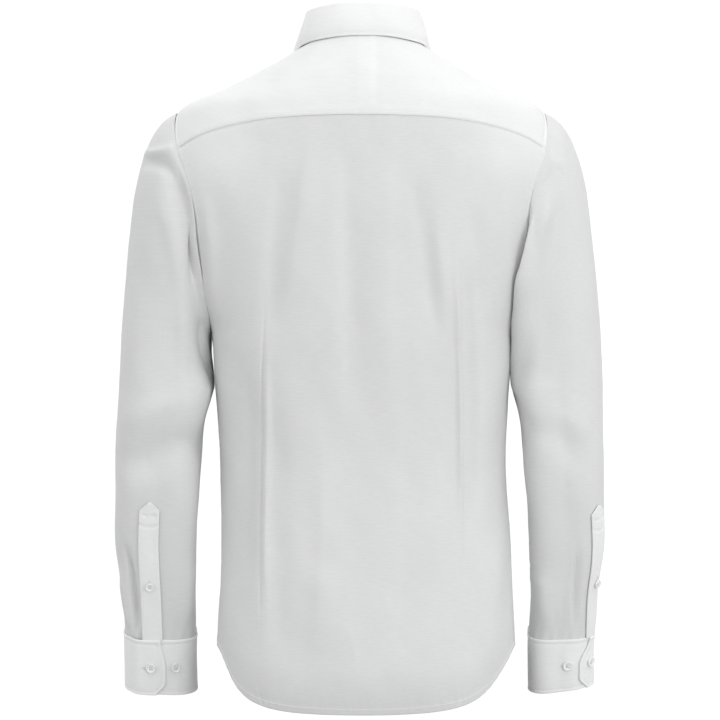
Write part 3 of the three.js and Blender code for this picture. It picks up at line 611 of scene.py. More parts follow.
def stitches(name, lines, pitch=PITCH, size=1.0):
    """lines are pairs of points and normals, in millimetres."""
    points, faces, total = [], [], 0
    for line, normals in lines:
        middles, runs, ups = resample(line, normals, pitch)
        if not len(middles):
            continue
        sides = unit(np.cross(ups, runs))
        ups = np.cross(runs, sides)
        shape = GRAIN_POINTS * [STITCH_LENGTH * pitch / PITCH, STITCH_WIDTH * size, STITCH_HEIGHT * size]
        placed = (middles[:, None] + runs[:, None] * shape[None, :, :1] + sides[:, None] * shape[None, :, 1:2]
                  + ups[:, None] * (shape[None, :, 2:] - SUNK))
        points.append(placed.reshape(-1, 3))
        firsts = (total + np.arange(len(middles))) * len(GRAIN_POINTS)
        faces.append((GRAIN_FACES[None] + firsts[:, None, None]).reshape(-1, 3))
        total += len(middles)
    mesh = bpy.data.meshes.new(name)
    mesh.from_pydata((np.concatenate(points) * MM).tolist(), [], np.concatenate(faces).tolist())
    mesh.polygons.foreach_set("use_smooth", np.ones(len(mesh.polygons), bool))
    mesh.update()
    print(f"{name}: {total} stitches")
    return add_object(name, mesh)


def nearest(values, wanted):
    return int(np.argmin(np.abs(values - wanted)))


def row_line(cloth, edge, distance, part=slice(None)):
    """The grid's row at a distance from its top or bottom edge."""
    middle = cloth[edge].shape[1] // 2
    row = nearest(cloth[edge][:, middle], distance)
    line, normals = cloth["outer"][row, part], cloth["normals"][row, part]
    if cloth["closed"] and part == slice(None):
        line, normals = np.vstack([line, line[:1]]), np.vstack([normals, normals[:1]])
    return line, normals


def column_line(cloth, edge, distance):
    """The grid's column at a distance from its start or end edge."""
    middle = cloth[edge].shape[0] // 2
    column = nearest(cloth[edge][middle], distance)
    return cloth["outer"][:, column], cloth["normals"][:, column]


def sew(cloth, pitch=PITCH, extra=(), **edges):
    """Stitches a cloth inside its named edges, each at its own distance, and keeps them with it."""
    lines = [(column_line if edge in ("start", "end") else row_line)(cloth, edge, distance)
             for edge, distance in edges.items()]
    name = cloth["piece"].name.replace("_cloth", "_stitches")
    cloth["stitches"] = stitches(name, lines + list(extra), pitch)


# %% [markdown]
# ## Back panel
# The back reaches a little way up under the yoke. Along the armholes and side seams its edge is turned
# and felled, so it is two layers for six millimetres and lifts over what it is sewn to. The hem is turned
# twice. The turns could be extra strips laid on top, but as relief on the same wall they look as the sewn
# cloth really does: one skin. Columns are crowded beside the two darts, because their lines are fine.

# %% Relief that the seams share
def band(distance, width, soft=0.5):
    return 1 - ease(distance, width - soft, width + soft)


def groove(distance, at, deep, soft=0.8):
    return -deep * np.exp(-((distance - at) / soft) ** 2)


def near_edge(d, *names):
    """The distance from the nearest of the named edges."""
    return np.minimum.reduce([d[name] for name in names])


FELLED, FELLED_STITCH = 6.2, 5      # the turned seam at the armholes and sides
HEM_BAND, HEM_STITCH = 7.8, 6.6
TURN_UNDER = 1.35


def pucker(distance, run, height, reach=9):
    """The small ripple that a sewn seam draws into the cloth beside it."""
    ripple = np.sin(run * 0.83 + 1.7 * np.sin(run * 0.061)) + 0.6 * np.sin(run * 0.47 + 2)
    return height * ripple * np.exp(-np.maximum(distance, 0) / reach)


# %% Shape and build the back
BACK_ARM_ROWS, BACK_SIDE_ROWS = 8, 9
BACK_UNDER = np.array([-8, -6, -4, -2, 0, 1.5, 3])
HEM_STEPS = np.array([0, 0.35, 0.8, 1.5, 2.8, 4.2, 5.6, 6.6, 7.4, 8.2, 9, 11])


def back_place(s, t):
    share = BACK_ARM_ROWS / (BACK_ARM_ROWS + BACK_SIDE_ROWS)
    edge_arm = lambda u: armhole(lerp(YOKE_BACK_END, 180, u))
    seam = join_edges(edge_arm, side_seam, share, t)
    middle = lerp(YOKE_LEVEL_MIDDLE, UNDERARM_ROW, np.minimum(t, share) / share)
    middle = np.where(t < share, middle, lerp(UNDERARM_ROW, HEM, (t - share) / (1 - share)))
    side = 2 * s - 1
    place = panel_place(seam, middle, 0, np.abs(side))
    place[..., 0] *= np.where(side < 0, -1, 1)
    return place


def back_surface(s, t):
    return on_body(back_place(s, t))


def back_relief(d):
    high = 1 - ease(-d["points"][..., 2], 118, 150)
    felled = 0.15 + 0.7 * high
    edges = near_edge(d, "start", "end")
    seam, hem = band(edges, FELLED), band(d["bottom"], HEM_BAND)
    outer = felled * seam + 0.4 * hem * (1 - seam)
    outer = outer + groove(edges, FELLED_STITCH, 0.1 + 0.12 * high) + groove(d["bottom"], HEM_STITCH, 0.2)
    inner = TURN_UNDER * (1 - ease(edges, -0.2, 1.2))
    x, z = np.abs(d["points"][..., 0]), -d["points"][..., 2]
    # Painted highlight: near the tops of the armholes the back is whiter, where light from above falls on the
    # shoulder blades.
    shoulder = ease(x, 70, 185) * (1 - ease(z, 128, 215))
    outer = outer + 0.75 * ease(x, 70, 130) * ease(d["top"], 1.2, 2.6) * (1 - ease(d["top"], 5, 26))
    # The felled seams are whiter as doubled cloth, and whiter still near the top, which is painted highlight.
    whiteness_and_painted_light = 1 + np.maximum((0.08 + 0.7 * high) * seam, np.maximum(0.1 * hem, 0.55 * shoulder))
    return outer, inner, whiteness_and_painted_light


HEM_LEAN, HEM_LEAN_RUN = 11, 52


def hem_turn(d):
    """The last of the cloth above the hem leans in, drawn by the turned edge."""
    return -HEM_LEAN * (1 - np.clip(d["bottom"] / HEM_LEAN_RUN, 0, 1)) ** 2


BESIDE_LEFT_ARM, BESIDE_RIGHT_ARM, BESIDE_DEPTH, BESIDE_REACH = 2.2, 1, 42, 24


def beside_arm(d):
    """The back is a little fuller where it meets the arm."""
    x, y, z = (d["points"][..., axis] for axis in range(3))
    beside = np.exp(-((y - BESIDE_DEPTH) / BESIDE_REACH) ** 2)
    beside = beside * ease(-z, 240, 310) * (1 - ease(-z, 350, 440))
    return np.where(x > 0, BESIDE_LEFT_ARM, BESIDE_RIGHT_ARM) * beside


def back_shape(d, normals):
    hem = hem_turn(d) * np.abs(normals[..., 1]) ** 1.5 + pucker(d["bottom"] - 8, d["across"], 0.16)
    seams = pucker(near_edge(d, "start", "end") - 6, d["down"], 0.1) + pucker(d["top"], d["across"], 0.1)
    return hem + seams + beside_arm(d)


LIP_EDGE = np.concatenate([LIP, EDGE])
LEFT_DART, RIGHT_DART = (106.5, 111.5), (-102, -108)
back = cloth_piece("back_cloth", back_surface, CLOTH, 3.3, sides=(LIP_EDGE, LIP_EDGE),
                   ends=(BACK_UNDER, HEM_STEPS), relief=back_relief, shape=back_shape,
                   crowd=[LEFT_DART, RIGHT_DART])
sew(back, bottom=HEM_STITCH, start=FELLED_STITCH, end=FELLED_STITCH)

# %% [markdown]
# ## Yoke
# The yoke is cut double and runs over both shoulders. Its turned lower edge lies on the back and stands
# up as a narrow ridge, stitched close to the edge. Down the middle, between the two layers, lies a strip
# of cloth that shows as a slightly raised, whiter band, wider at its foot. It could be cut from a plane and
# shrunk on to a form, but a patch stretched between its four seam lines meets its neighbours exactly.

# %% Shape and build the yoke
YOKE_ARM_SHARE = 7 / 30
YOKE_STITCH, YOKE_WHITE = 1.8, 1.85


def yoke_half(u, inner, outer):
    inside = 1 - 2 * YOKE_ARM_SHARE
    u = np.asarray(u, float)
    first = inner(np.minimum(u, inside) / inside)
    second = outer((np.maximum(u, inside) - inside) / (2 * YOKE_ARM_SHARE))
    return np.where((u < inside)[..., None], first, second)


def yoke_neck(u):
    return yoke_half(
        u,
        lambda k: pair(math.radians(YOKE_NECK_SPLIT) * k, NECK),
        lambda k: pair(np.radians(lerp(YOKE_NECK_SPLIT, YOKE_NECK_ANGLE, k)), NECK),
    )


def yoke_lower(u):
    return yoke_half(
        u,
        lambda k: panel_place(yoke_back_corner, YOKE_LEVEL_MIDDLE, 0, k),
        lambda k: armhole(lerp(YOKE_BACK_END, YOKE_FRONT_END, k)),
    )


def yoke_surface(s, t):
    """A patch between four edges: the neck, the lower edge and a front seam at each end."""
    side = np.where(s < 0.5, -1, 1)
    half = np.minimum(np.abs(2 * s - 1), 1)
    past = (np.abs(2 * s - 1) - half)[..., None]
    down, across, mirror = t[..., None], s[..., None], np.array([-1, 1])
    seam, neck_end, low_end = yoke_front_seam(t), yoke_neck(1.0), yoke_lower(1.0)
    turn = np.stack([side, np.ones_like(side)], axis=-1)
    top, bottom = yoke_neck(half) * turn, yoke_lower(half) * turn
    place = seam * mirror * (1 - across) + seam * across + top * (1 - down) + bottom * down
    place = place - (neck_end * mirror * (1 - across) * (1 - down) + neck_end * across * (1 - down)
                     + low_end * mirror * (1 - across) * down + low_end * across * down)
    return on_body(place + past * np.stack([side * 0.9, np.zeros_like(side)], axis=-1))


STRIP_RIGHT, STRIP_LEFT, FLARE_RIGHT, FLARE_LEFT, STRIP_SOFT = -13.7, 6.5, 3.5, 6, 0.7


def yoke_strip(x, z):
    """The strip down the middle of the yoke: its edges flare towards the foot."""
    foot = ease(-z, 78, 92)
    right, left = STRIP_RIGHT - FLARE_RIGHT * foot, STRIP_LEFT + FLARE_LEFT * foot
    inside_right = ease(x, right - STRIP_SOFT, right + STRIP_SOFT)
    return inside_right * (1 - ease(x, left - STRIP_SOFT, left + STRIP_SOFT))


def yoke_relief(d):
    x, z = d["points"][..., 0], d["points"][..., 2]
    back_side = d["points"][..., 1] > 0
    edges = near_edge(d, "start", "end", "bottom")
    ridge = band(edges, 7.6, 0.6)
    strip = np.where(back_side, yoke_strip(x, z) * (1 - ridge), 0)
    narrow = strip * (1 - ease(x, -7.6, -6.2))
    rounded = (0.5 + 0.5 * ease(np.abs(x), 50, 150)) * (1 - ease(edges, -1.4, 1.6))
    outer = 0.3 * ridge + groove(edges, YOKE_STITCH, 0.18) - rounded + 0.2 * strip + 0.15 * narrow
    inner = TURN_UNDER * (1 - ease(edges, 7.2, 8.6)) * (d["bottom"] < 12)
    inner = np.maximum(inner, TURN_UNDER * (1 - ease(edges, -0.2, 1.2)))
    arm_from = 1 - 2 * YOKE_ARM_SHARE
    at_arm = ease(np.abs(2 * d["s"] - 1), arm_from - 0.01, arm_from + 0.02)
    # Along the armhole the felled band is whiter, as doubled cloth, and a darker line just inside it is
    # painted shade where the band steps down.
    arm = 0.5 * band(d["bottom"], 6.6) + groove(d["bottom"], 8, 0.7)
    return outer, inner, YOKE_WHITE + 0.09 * strip + 0.07 * narrow + at_arm * arm


def yoke_shape(d, normals):
    return pucker(near_edge(d, "start", "end", "bottom") - 4, d["across"], 0.07)


YOKE_EDGE = np.concatenate([LIP, [0, 0.5, 1.1, 1.8, 3, 4.4, 6, 7.1, 8.2, 9.6, 12]])
yoke = cloth_piece("yoke_cloth", yoke_surface, DOUBLED, 3.0, sides=(YOKE_EDGE, YOKE_EDGE),
                   ends=(np.array([0.3, 1, 2, 4]), YOKE_EDGE), relief=yoke_relief, shape=yoke_shape)
sew(yoke, bottom=YOKE_STITCH, start=YOKE_STITCH, end=YOKE_STITCH)

# %% [markdown]
# ## Fronts
# Each front hangs from the yoke, ends on the armhole and the side seam, and passes the middle by half a
# placket. The right one dips inwards to pass under the left. The left one carries the placket, a strip of
# doubled cloth stitched a little inside both edges. One surface serves for both fronts, with its hand
# turned, so they differ only where a real pair does: in the lap, the folds and the placket.

# %% Shape and build the fronts
SEAM_ROWS, ARM_ROWS, SIDE_ROWS = 5, 8, 9
FRONT_ROWS = SEAM_ROWS + ARM_ROWS + SIDE_ROWS
TUCK, TUCK_RUN = CLOTH + 0.9, 26


def front_level(t):
    row = np.asarray(t, float) * FRONT_ROWS
    corner = yoke_front_corner[1]
    first = corner * row / SEAM_ROWS
    second = lerp(corner, UNDERARM_ROW, (row - SEAM_ROWS) / ARM_ROWS)
    third = lerp(UNDERARM_ROW, HEM, (row - SEAM_ROWS - ARM_ROWS) / SIDE_ROWS)
    return np.where(row < SEAM_ROWS, first, np.where(row < SEAM_ROWS + ARM_ROWS, second, third))


def front_place(share, t):
    """share is 0 at the front edge and 1 at the seams."""
    lower = lambda u: join_edges(lambda k: armhole(lerp(YOKE_FRONT_END, -180, k)), side_seam,
                                 ARM_ROWS / (ARM_ROWS + SIDE_ROWS), u)
    seam = join_edges(yoke_front_seam, lower, SEAM_ROWS / FRONT_ROWS, t)
    level = front_level(t)
    return panel_place(seam, level, front_edge(level, FRONT_LAP), share)


def front_surface(hand):
    def surface(s, t):
        if hand > 0:
            return on_body(front_place(1 - s, t))
        place = front_place(s, t)
        points = on_body(place, hand)
        under = ease(-points[..., 0], -FRONT_LAP - TUCK_RUN, -FRONT_LAP - 2)
        points = points - body_normal(place[..., 0], place[..., 1], hand) * (TUCK * under)[..., None]
        return points * [-1, 1, 1]
    return surface


def front_relief(hand):
    def relief(d):
        seam_edge = d["start"] if hand > 0 else d["end"]
        arm = ease(d["t"], 0.215, 0.235) * (1 - ease(d["t"], 0.56, 0.62))
        seam, hem = band(seam_edge, FELLED), band(d["bottom"], HEM_BAND)
        outer = 0.7 * arm * seam + 0.4 * hem
        outer = outer + arm * groove(seam_edge, FELLED_STITCH, 0.22) + groove(d["bottom"], HEM_STITCH, 0.2)
        inner = 0.9 * arm * (1 - ease(seam_edge, -0.2, 1.2))
        return outer, inner, 1 + np.maximum(0.4 * arm * seam, 0.1 * hem)
    return relief


def front_shape(hand):
    def shape(d, normals):
        seam_edge = d["start"] if hand > 0 else d["end"]
        ripple = pucker(seam_edge - 6, d["down"], 0.1) + pucker(d["bottom"] - 8, d["across"], 0.15)
        return hem_turn(d) * np.abs(normals[..., 1]) ** 1.5 + ripple
    return shape


PLAIN_EDGE = np.array([0.1, 0.4, 0.9, 1.8, 4])
fronts = {}
for side, hand in (("left", 1), ("right", -1)):
    edges = (EDGE, PLAIN_EDGE) if hand > 0 else (PLAIN_EDGE, EDGE)
    fronts[side] = cloth_piece(f"front_{side}_cloth", front_surface(hand), CLOTH, 3.9, sides=edges,
                               ends=(PLAIN_EDGE, HEM_STEPS), relief=front_relief(hand),
                               shape=front_shape(hand))
    sew(fronts[side], bottom=HEM_STITCH, **{"start" if hand > 0 else "end": FELLED_STITCH})

# %% Build the front placket
PLACKET_STITCH = 5.2


def placket_surface(s, t):
    level = front_level(t)
    return body_point(lerp(front_edge(level, -FRONT_LAP), front_edge(level, FRONT_LAP), s), level)


def placket_relief(d):
    edges = near_edge(d, "start", "end")
    outer = groove(edges, PLACKET_STITCH, 0.25) + 0.2 * (1 - band(edges, PLACKET_STITCH, 1))
    return outer, 0, 2 + 0.1 * band(edges, PLACKET_STITCH)


PLACKET_EDGE = np.array([0.1, 0.4, 0.9, 1.8, 3, 4.2, 5.2, 6.2, 7.4])
placket = cloth_piece("front_placket_cloth", placket_surface, DOUBLED, 2.4, lift=CLOTH + LAP_GAP,
                      sides=(PLACKET_EDGE, PLACKET_EDGE), ends=(PLAIN_EDGE, HEM_STEPS),
                      relief=placket_relief, shape=lambda d, normals: hem_turn(d))
sew(placket, start=PLACKET_STITCH, end=PLACKET_STITCH, bottom=HEM_STITCH)

# %% [markdown]
# ## Collar
# The stand is an upright band round the neck, and the leaf folds over it. Both are two layers with a
# lining between, so they are smooth and firm, with a rounded edge and one row of stitches near it. A flat
# collar could be bent with a curve, but here the leaf's edge is tabled, so it lies on the yoke all round.

# %% Shape and build the stand
STAND_BACK, STAND_SIDE, STAND_FRONT, STAND_LEAN, STAND_LAP = 31, 36.5, 27, 4, 16
STAND_UNDER_FROM = 148      # degrees round, where the right end starts to pass under the left
NECK_SEAM_GAP, LEAF_ROLL, LEAF_GAP, LEAF_ROLL_SHARE = 0.45, 3, 0.95, 0.22
stand_end = math.pi + math.asin(STAND_LAP / BODY_RINGS[0]["front"])


def stand_point(angle, share, lapped=1):
    seam = body_point(angle, NECK)
    cosine = np.cos(angle)
    tall = lerp(STAND_SIDE, np.where(cosine > 0, STAND_BACK, STAND_FRONT), cosine ** 2)
    under = lapped * ease(-angle, math.radians(STAND_UNDER_FROM), 2 * math.pi - stand_end)
    inwards = DOUBLED + NECK_SEAM_GAP + STAND_LEAN * (1 - share) + under * (DOUBLED + LAP_GAP)
    outwards = unit(seam * [1, 1, 0])
    point = seam - outwards * inwards[..., None]
    point[..., 2] = seam[..., 2] + tall * (1 - share) + NECK_SEAM_GAP
    return point


COLLAR_STITCH, COLLAR_WHITE = 2.8, 2.2


def collar_relief(d):
    edges = near_edge(d, "start", "end", "bottom")
    outer = groove(edges, COLLAR_STITCH, 0.42) + 0.18 * band(edges, COLLAR_STITCH, 0.6)
    return outer, 0, COLLAR_WHITE + 0.15 * band(edges, COLLAR_STITCH + 0.4)


FIRM_EDGE = np.array([0, 0.3, 0.7, 1.2, 1.9, 2.8, 3.7, 4.8, 7])
stand = cloth_piece("collar_stand_cloth", lambda s, t: stand_point(lerp(-stand_end, stand_end, s), t),
                    DOUBLED, 2.4, sides=(FIRM_EDGE, FIRM_EDGE), ends=(FIRM_EDGE, FIRM_EDGE),
                    part="collar", relief=collar_relief)
sew(stand, bottom=COLLAR_STITCH)

# %% Shape and build the leaf
LEAF_EDGE = table(
    "angle level lift",
    ["back", 0, 0.17, 4],
    ["back quarter", 39, 0.13, 4],
    ["side", 78, 0.12, 4],
    ["front quarter", 117, 0.72, 4.2],
    ["point", 156, 2.08, 5],
)
LEAF_TOP_END, LEAF_ROLL_RISE, LEAF_BELLY, LEAF_BELLY_FADE, LEAF_DIP = 172, 0.6, 1.6, 1.4, 2.2


def leaf_surface(s, t):
    side = 2 * s - 1
    edge_row = read_table(LEAF_EDGE, np.abs(side) * (len(LEAF_EDGE) - 1))
    edge_angle = np.radians(edge_row["angle"]) * np.sign(side)
    top = stand_point(math.radians(LEAF_TOP_END) * side, np.zeros_like(side), 0)
    outwards = unit(top * [1, 1, 0])
    turn = math.pi * np.minimum(t / LEAF_ROLL_SHARE, 1)
    roll = top + outwards * (DOUBLED / 2 + LEAF_ROLL * (1 - np.cos(turn)) / 2)[..., None]
    roll[..., 2] += LEAF_GAP + LEAF_ROLL * LEAF_ROLL_RISE * np.sin(turn)
    edge = body_point(edge_angle, edge_row["level"])
    edge = edge + body_normal(edge_angle, edge_row["level"]) * edge_row["lift"][..., None]
    fall = np.maximum((t - LEAF_ROLL_SHARE) / (1 - LEAF_ROLL_SHARE), 0)[..., None]
    belly = LEAF_BELLY * np.sin(math.pi * np.clip(fall, 0, 1)) * np.cos(side * LEAF_BELLY_FADE)[..., None]
    return lerp(roll, edge, fall) + outwards * belly


leaf = cloth_piece("collar_leaf_cloth", leaf_surface, DOUBLED, 2.4, sides=(FIRM_EDGE, FIRM_EDGE),
                   ends=(np.array([0, 0.4, 1, 2]), FIRM_EDGE), part="collar", relief=collar_relief,
                   shape=lambda d, normals: -LEAF_DIP * (1 - np.clip(d["bottom"] / 12, 0, 1)) ** 2)
sew(leaf, bottom=COLLAR_STITCH, start=COLLAR_STITCH, end=COLLAR_STITCH)

# %% [markdown]
# ## Sleeves
# A sleeve is a tube with a rounded head that is sewn into the armhole. The head is a smooth curve from
# each point of the armhole to the first ring, and the arm below it follows a table of rings, bent a
# little forward at the elbow. The underarm seam runs down the inner side. A cylinder could be bent and
# joined to the body, but a tube that starts at the armhole's own points leaves no gap at the seam.

# %% Shape of the sleeves
SLEEVE_RINGS = table(
    "z outer_left inner_left outer_right inner_right y depth lean",
    ["underarm", -388, 271.4, 167.8, 266.8, 167.8, 0, 61, 0],
    ["above elbow", -432, 274, 179, 267, 177.5, 2, 56, 2],
    ["elbow", -478, 275.5, 183, 268.5, 180.5, 0, 52, 7],
    ["forearm", -546, 277, 188.5, 269.5, 188.5, -12, 46, 11],
    ["lower arm", -612, 271.5, 191, 261.5, 191, -27, 40, 13],
    ["cuff seam", -664, 268.5, 191.5, 258.5, 190, -39, 35, 13],
)
SLEEVE_SEAM_GAP, UNDERARM_CLEARANCE, CUFF_SEAM = 0.6, 2.6, 6
HEAD_LEAVE_TOP, HEAD_LEAVE_UNDER, HEAD_LEAVE_SIDE = [48, 0, -16], [4, 0, -13], [0, 9, -22]
HEAD_ARRIVE_TOP, HEAD_ARRIVE_UNDER = [8, 0, -170], [1, 0, -22]
SIDES = table(
    "sign placket_top placket_foot cuff_edge cuff_rise placket_length",
    ["left", 1, 85, 82, 101, 0, 158],
    ["right", -1, 45, 32, 63, 8, 152],
)


def sleeve_section(side, level):
    ring = read_table(SLEEVE_RINGS, level)
    outer, inner = ring[f"outer_{side['name']}"], ring[f"inner_{side['name']}"]
    lean = np.radians(ring["lean"])
    zero = np.zeros_like(outer)
    return {
        "centre": np.stack([(outer + inner) / 2, ring["y"], ring["z"]], axis=-1),
        "across": np.stack([(outer - inner) / 2, zero, zero], axis=-1),
        "back": np.stack([zero, np.cos(lean), -np.sin(lean)], axis=-1) * ring["depth"][..., None],
        "down": np.stack([zero, -np.sin(lean), -np.cos(lean)], axis=-1),
    }


def on_section(section, angle, lift=0):
    lift = np.asarray(lift, float)
    across = 1 + lift / np.linalg.norm(section["across"], axis=-1)
    back = 1 + lift / np.linalg.norm(section["back"], axis=-1)
    return (section["centre"] + section["across"] * (np.cos(angle) * across)[..., None]
            + section["back"] * (np.sin(angle) * back)[..., None])


def sleeve_point(side, angle, reach):
    """On the left side: angle 0 is the outer edge and a quarter turn is the back."""
    hand = side["sign"]
    start = armhole(np.degrees(np.arctan2(np.sin(angle), np.cos(angle))))
    high = (1 + np.cos(angle)) / 2
    leave = lerp(np.array(HEAD_LEAVE_UNDER, float), HEAD_LEAVE_TOP, (high ** 1.3)[..., None])
    leave[..., 1] += HEAD_LEAVE_SIDE[1] * np.sin(angle)
    leave[..., 2] += HEAD_LEAVE_SIDE[2] * np.sin(angle) ** 2
    leave_side, body_side = unit(leave), body_normal(start[..., 0], start[..., 1], hand)
    outwards = np.maximum((leave_side * body_side).sum(axis=-1), 0) * (DOUBLED + SEAM_GAP)
    outwards = outwards + UNDERARM_CLEARANCE * (1 - high) ** 2
    first = on_body(start, hand) + leave_side * SLEEVE_SEAM_GAP
    first = first + body_side * outwards[..., None]
    last = on_section(sleeve_section(side, np.zeros_like(angle)), angle)
    arrive = last - lerp(np.array(HEAD_ARRIVE_UNDER, float), HEAD_ARRIVE_TOP, high[..., None])
    k = np.clip(reach, 0, 1)[..., None]
    head = (first * (1 - k) ** 3 + (first + leave) * 3 * k * (1 - k) ** 2
            + arrive * 3 * k ** 2 * (1 - k) + last * k ** 3)
    arm = on_section(sleeve_section(side, np.maximum(reach, 1) - 1), angle)
    return np.where((reach < 1)[..., None], head, arm)


def for_side(side, surface):
    """Turns a surface of the left side into one for either side, with s running the outward way."""
    def turned(s, t):
        return surface(1 - s if side["sign"] > 0 else s, t) * [side["sign"], 1, 1]
    return turned


def sleeve_surface(side):
    def surface(s, t):
        reach = np.where(t < 0.5, 2 * t, lerp(1, CUFF_SEAM, 2 * t - 1))
        return sleeve_point(side, 2 * math.pi * s, reach)
    return for_side(side, surface)


# %% Build the sleeves
def sleeve_relief(d):
    inner_seam = np.abs(d["s"] - 0.5) * d["across"].max(axis=1, keepdims=True)
    felled = band(inner_seam, 3.4, 0.8)
    return 0.35 * felled, 0, 1 + 0.3 * felled


def sleeve_shape(d, normals):
    head = pucker(d["top"], d["across"], 0.22, 12)
    gathers = np.sin(d["across"] * 0.62 + 1.3 * np.sin(d["across"] * 0.09)) * np.exp(-d["bottom"] / 16)
    return head + 0.55 * gathers * ease(d["bottom"], -1, 3)


sleeves = {}
for side in SIDES:
    name = side["name"]
    sleeves[name] = cloth_piece(f"sleeve_{name}_cloth", sleeve_surface(side), CLOTH, 3.3, closed=True,
                                ends=(np.array([0, 0.5, 1.2, 2.2, 4]), np.array([0.1, 0.6, 1.4, 3])),
                                part="sleeve", relief=sleeve_relief, shape=sleeve_shape)

# %% [markdown]
# ## Cuffs
# A cuff is a straight doubled band. Its upper end laps over its lower end and is cut in a rounded slant,
# and it is stitched close inside every edge. It is a little larger than the end of the sleeve, which is
# gathered into it. It is made on the sleeve's last ring, so it turns and leans with the arm.

# %% Shape and build the cuffs
CUFF_HEIGHT, CUFF_EASE, CUFF_LAP, CUFF_STITCH, CUFF_WHITE = 64, 0.6, 34, 3.7, 2.1
CUFF_PAST_PLACKET, CUFF_ROUNDING, CUFF_LAP_RUN = 12, 14, 30      # degrees round the sleeve


def cuff_edge(side, share):
    placket_edge = side["placket_foot"] + CUFF_PAST_PLACKET
    slant = lerp(placket_edge, side["cuff_edge"], ease(share, 0, 0.5))
    return np.radians(slant - CUFF_ROUNDING * ease(share, 0.7, 1) ** 2)


def cuff_point(side, angle, drop):
    section = sleeve_section(side, np.full(np.shape(angle), 5.0))
    rise = side["cuff_rise"] * (1 + np.cos(angle)) / 2
    section["centre"] = section["centre"] + section["down"] * (drop * (1 - rise / CUFF_HEIGHT))[..., None]
    edge = math.radians(side["cuff_edge"])
    over = ease(angle, edge - math.radians(CUFF_LAP + CUFF_LAP_RUN), edge - math.radians(CUFF_LAP))
    return on_section(section, angle, CUFF_EASE + over * (DOUBLED + LAP_GAP))


def cuff_surface(side):
    start = math.radians(side["cuff_edge"] - CUFF_LAP) - 2 * math.pi
    return for_side(side, lambda s, t: cuff_point(side, lerp(start, cuff_edge(side, t), s), CUFF_HEIGHT * t))


def cuff_relief(d):
    edges = near_edge(d, "start", "end", "top", "bottom")
    outer = groove(edges, CUFF_STITCH, 0.5) + 0.2 * band(edges, CUFF_STITCH, 0.6)
    outer = outer + 0.5 * band(d["top"], 1.5, 1)
    return outer, 0.75 * band(d["top"], 1.2, 0.8), CUFF_WHITE + 0.1 * band(edges, CUFF_STITCH + 0.4)


CUFF_STEPS = np.array([0, 0.3, 0.7, 1.2, 1.9, 2.8, 3.7, 4.6, 6])
cuffs = {}
for side in SIDES:
    name = side["name"]
    cuffs[name] = cloth_piece(f"cuff_{name}_cloth", cuff_surface(side), DOUBLED, 2.2,
                              sides=(CUFF_STEPS, CUFF_STEPS),
                              ends=(np.concatenate([LIP, CUFF_STEPS]), CUFF_STEPS), part="sleeve",
                              relief=cuff_relief)
    sew(cuffs[name], top=CUFF_STITCH, bottom=CUFF_STITCH, start=CUFF_STITCH, end=CUFF_STITCH)

# %% [markdown]
# ## Sleeve plackets
# Above each cuff the sleeve is slit, and a pointed strip of doubled cloth covers the slit. It is stitched
# along both sides, and a pressed line and a row of stitches cross it below the point. It could be a flat
# strip shrunk on to the sleeve, but read from the same table of rings it keeps one distance from it.

# %% Shape and build the sleeve plackets
SLEEVE_PLACKET_WIDTH, SLEEVE_PLACKET_POINT, PLACKET_GAP = 21, 9, 0.85
SLEEVE_STITCH, SLEEVE_PLACKET_WHITE = 1.9, 2.05
TACK, CROSS_FOLD, CROSS_STITCH = 16.5, 29.5, 31      # below the placket's point
SLEEVE_FOOT = -664


def level_at_height(height):
    levels = np.linspace(0, 5, 600)
    heights = read_table(SLEEVE_RINGS, levels)["z"]
    return np.interp(-height, -heights, levels)


def sleeve_placket_point(side, across, share):
    section = sleeve_section(side, level_at_height(SLEEVE_FOOT + side["placket_length"] * (1 - share)))
    from_point = share * side["placket_length"] / SLEEVE_PLACKET_POINT
    width = SLEEVE_PLACKET_WIDTH * lerp(0.12, 1, np.clip(from_point, 0, 1))
    middle = np.radians(lerp(side["placket_top"], side["placket_foot"], share))
    half = np.linalg.norm(section["across"], axis=-1)
    return on_section(section, middle + across * width / half)


def sleeve_placket_relief(d):
    edges, aside = near_edge(d, "start", "end"), np.abs(d["s"] - 0.5)
    tack = ease(aside, 0.07, 0.13) * (1 - ease(aside, 0.3, 0.36))
    outer = groove(edges, SLEEVE_STITCH, 0.2, 0.6) + groove(d["top"], CROSS_FOLD, 1.1, 1.3)
    outer = outer + groove(d["top"], TACK, 1.6, 1.3) * tack
    return outer, 0, SLEEVE_PLACKET_WHITE + 0.1 * band(edges, SLEEVE_STITCH)


NARROW_EDGE = np.array([0.1, 0.4, 0.9, 1.9, 3, 4.2])
plackets = {}
for side in SIDES:
    name = side["name"]
    surface = for_side(side, lambda s, t, side=side: sleeve_placket_point(side, s - 0.5, t))
    plackets[name] = cloth_piece(f"sleeve_placket_{name}_cloth", surface, DOUBLED, 1.6,
                                 lift=CLOTH + PLACKET_GAP, sides=(NARROW_EDGE, NARROW_EDGE),
                                 ends=(np.array([0.3, 0.7, 1.3, 2.2, 3.4]), np.array([0.6, 1.2, 2])),
                                 part="sleeve", relief=sleeve_placket_relief)
    across = row_line(plackets[name], "top", CROSS_STITCH, slice(4, -4))
    sew(plackets[name], 2.2, [across], start=SLEEVE_STITCH, end=SLEEVE_STITCH)

# %% [markdown]
# ## Buttons
# A shirt button is a small disc with a raised rim, a dished face and four holes. It starts as a cylinder.
# In edit mode the top is inset and sunk to make the dish, the rim is bevelled, and the holes are cut by
# four thin cylinders in a boolean modifier. One button is made, then copied to each place.

# %% Model one button
def only(piece):
    bpy.ops.object.select_all(action="DESELECT")
    piece.select_set(True)
    bpy.context.view_layer.objects.active = piece


def pick_faces(piece, test):
    bpy.ops.object.mode_set(mode="OBJECT")
    for face in piece.data.polygons:
        face.select = bool(test(face))
    bpy.ops.object.mode_set(mode="EDIT")


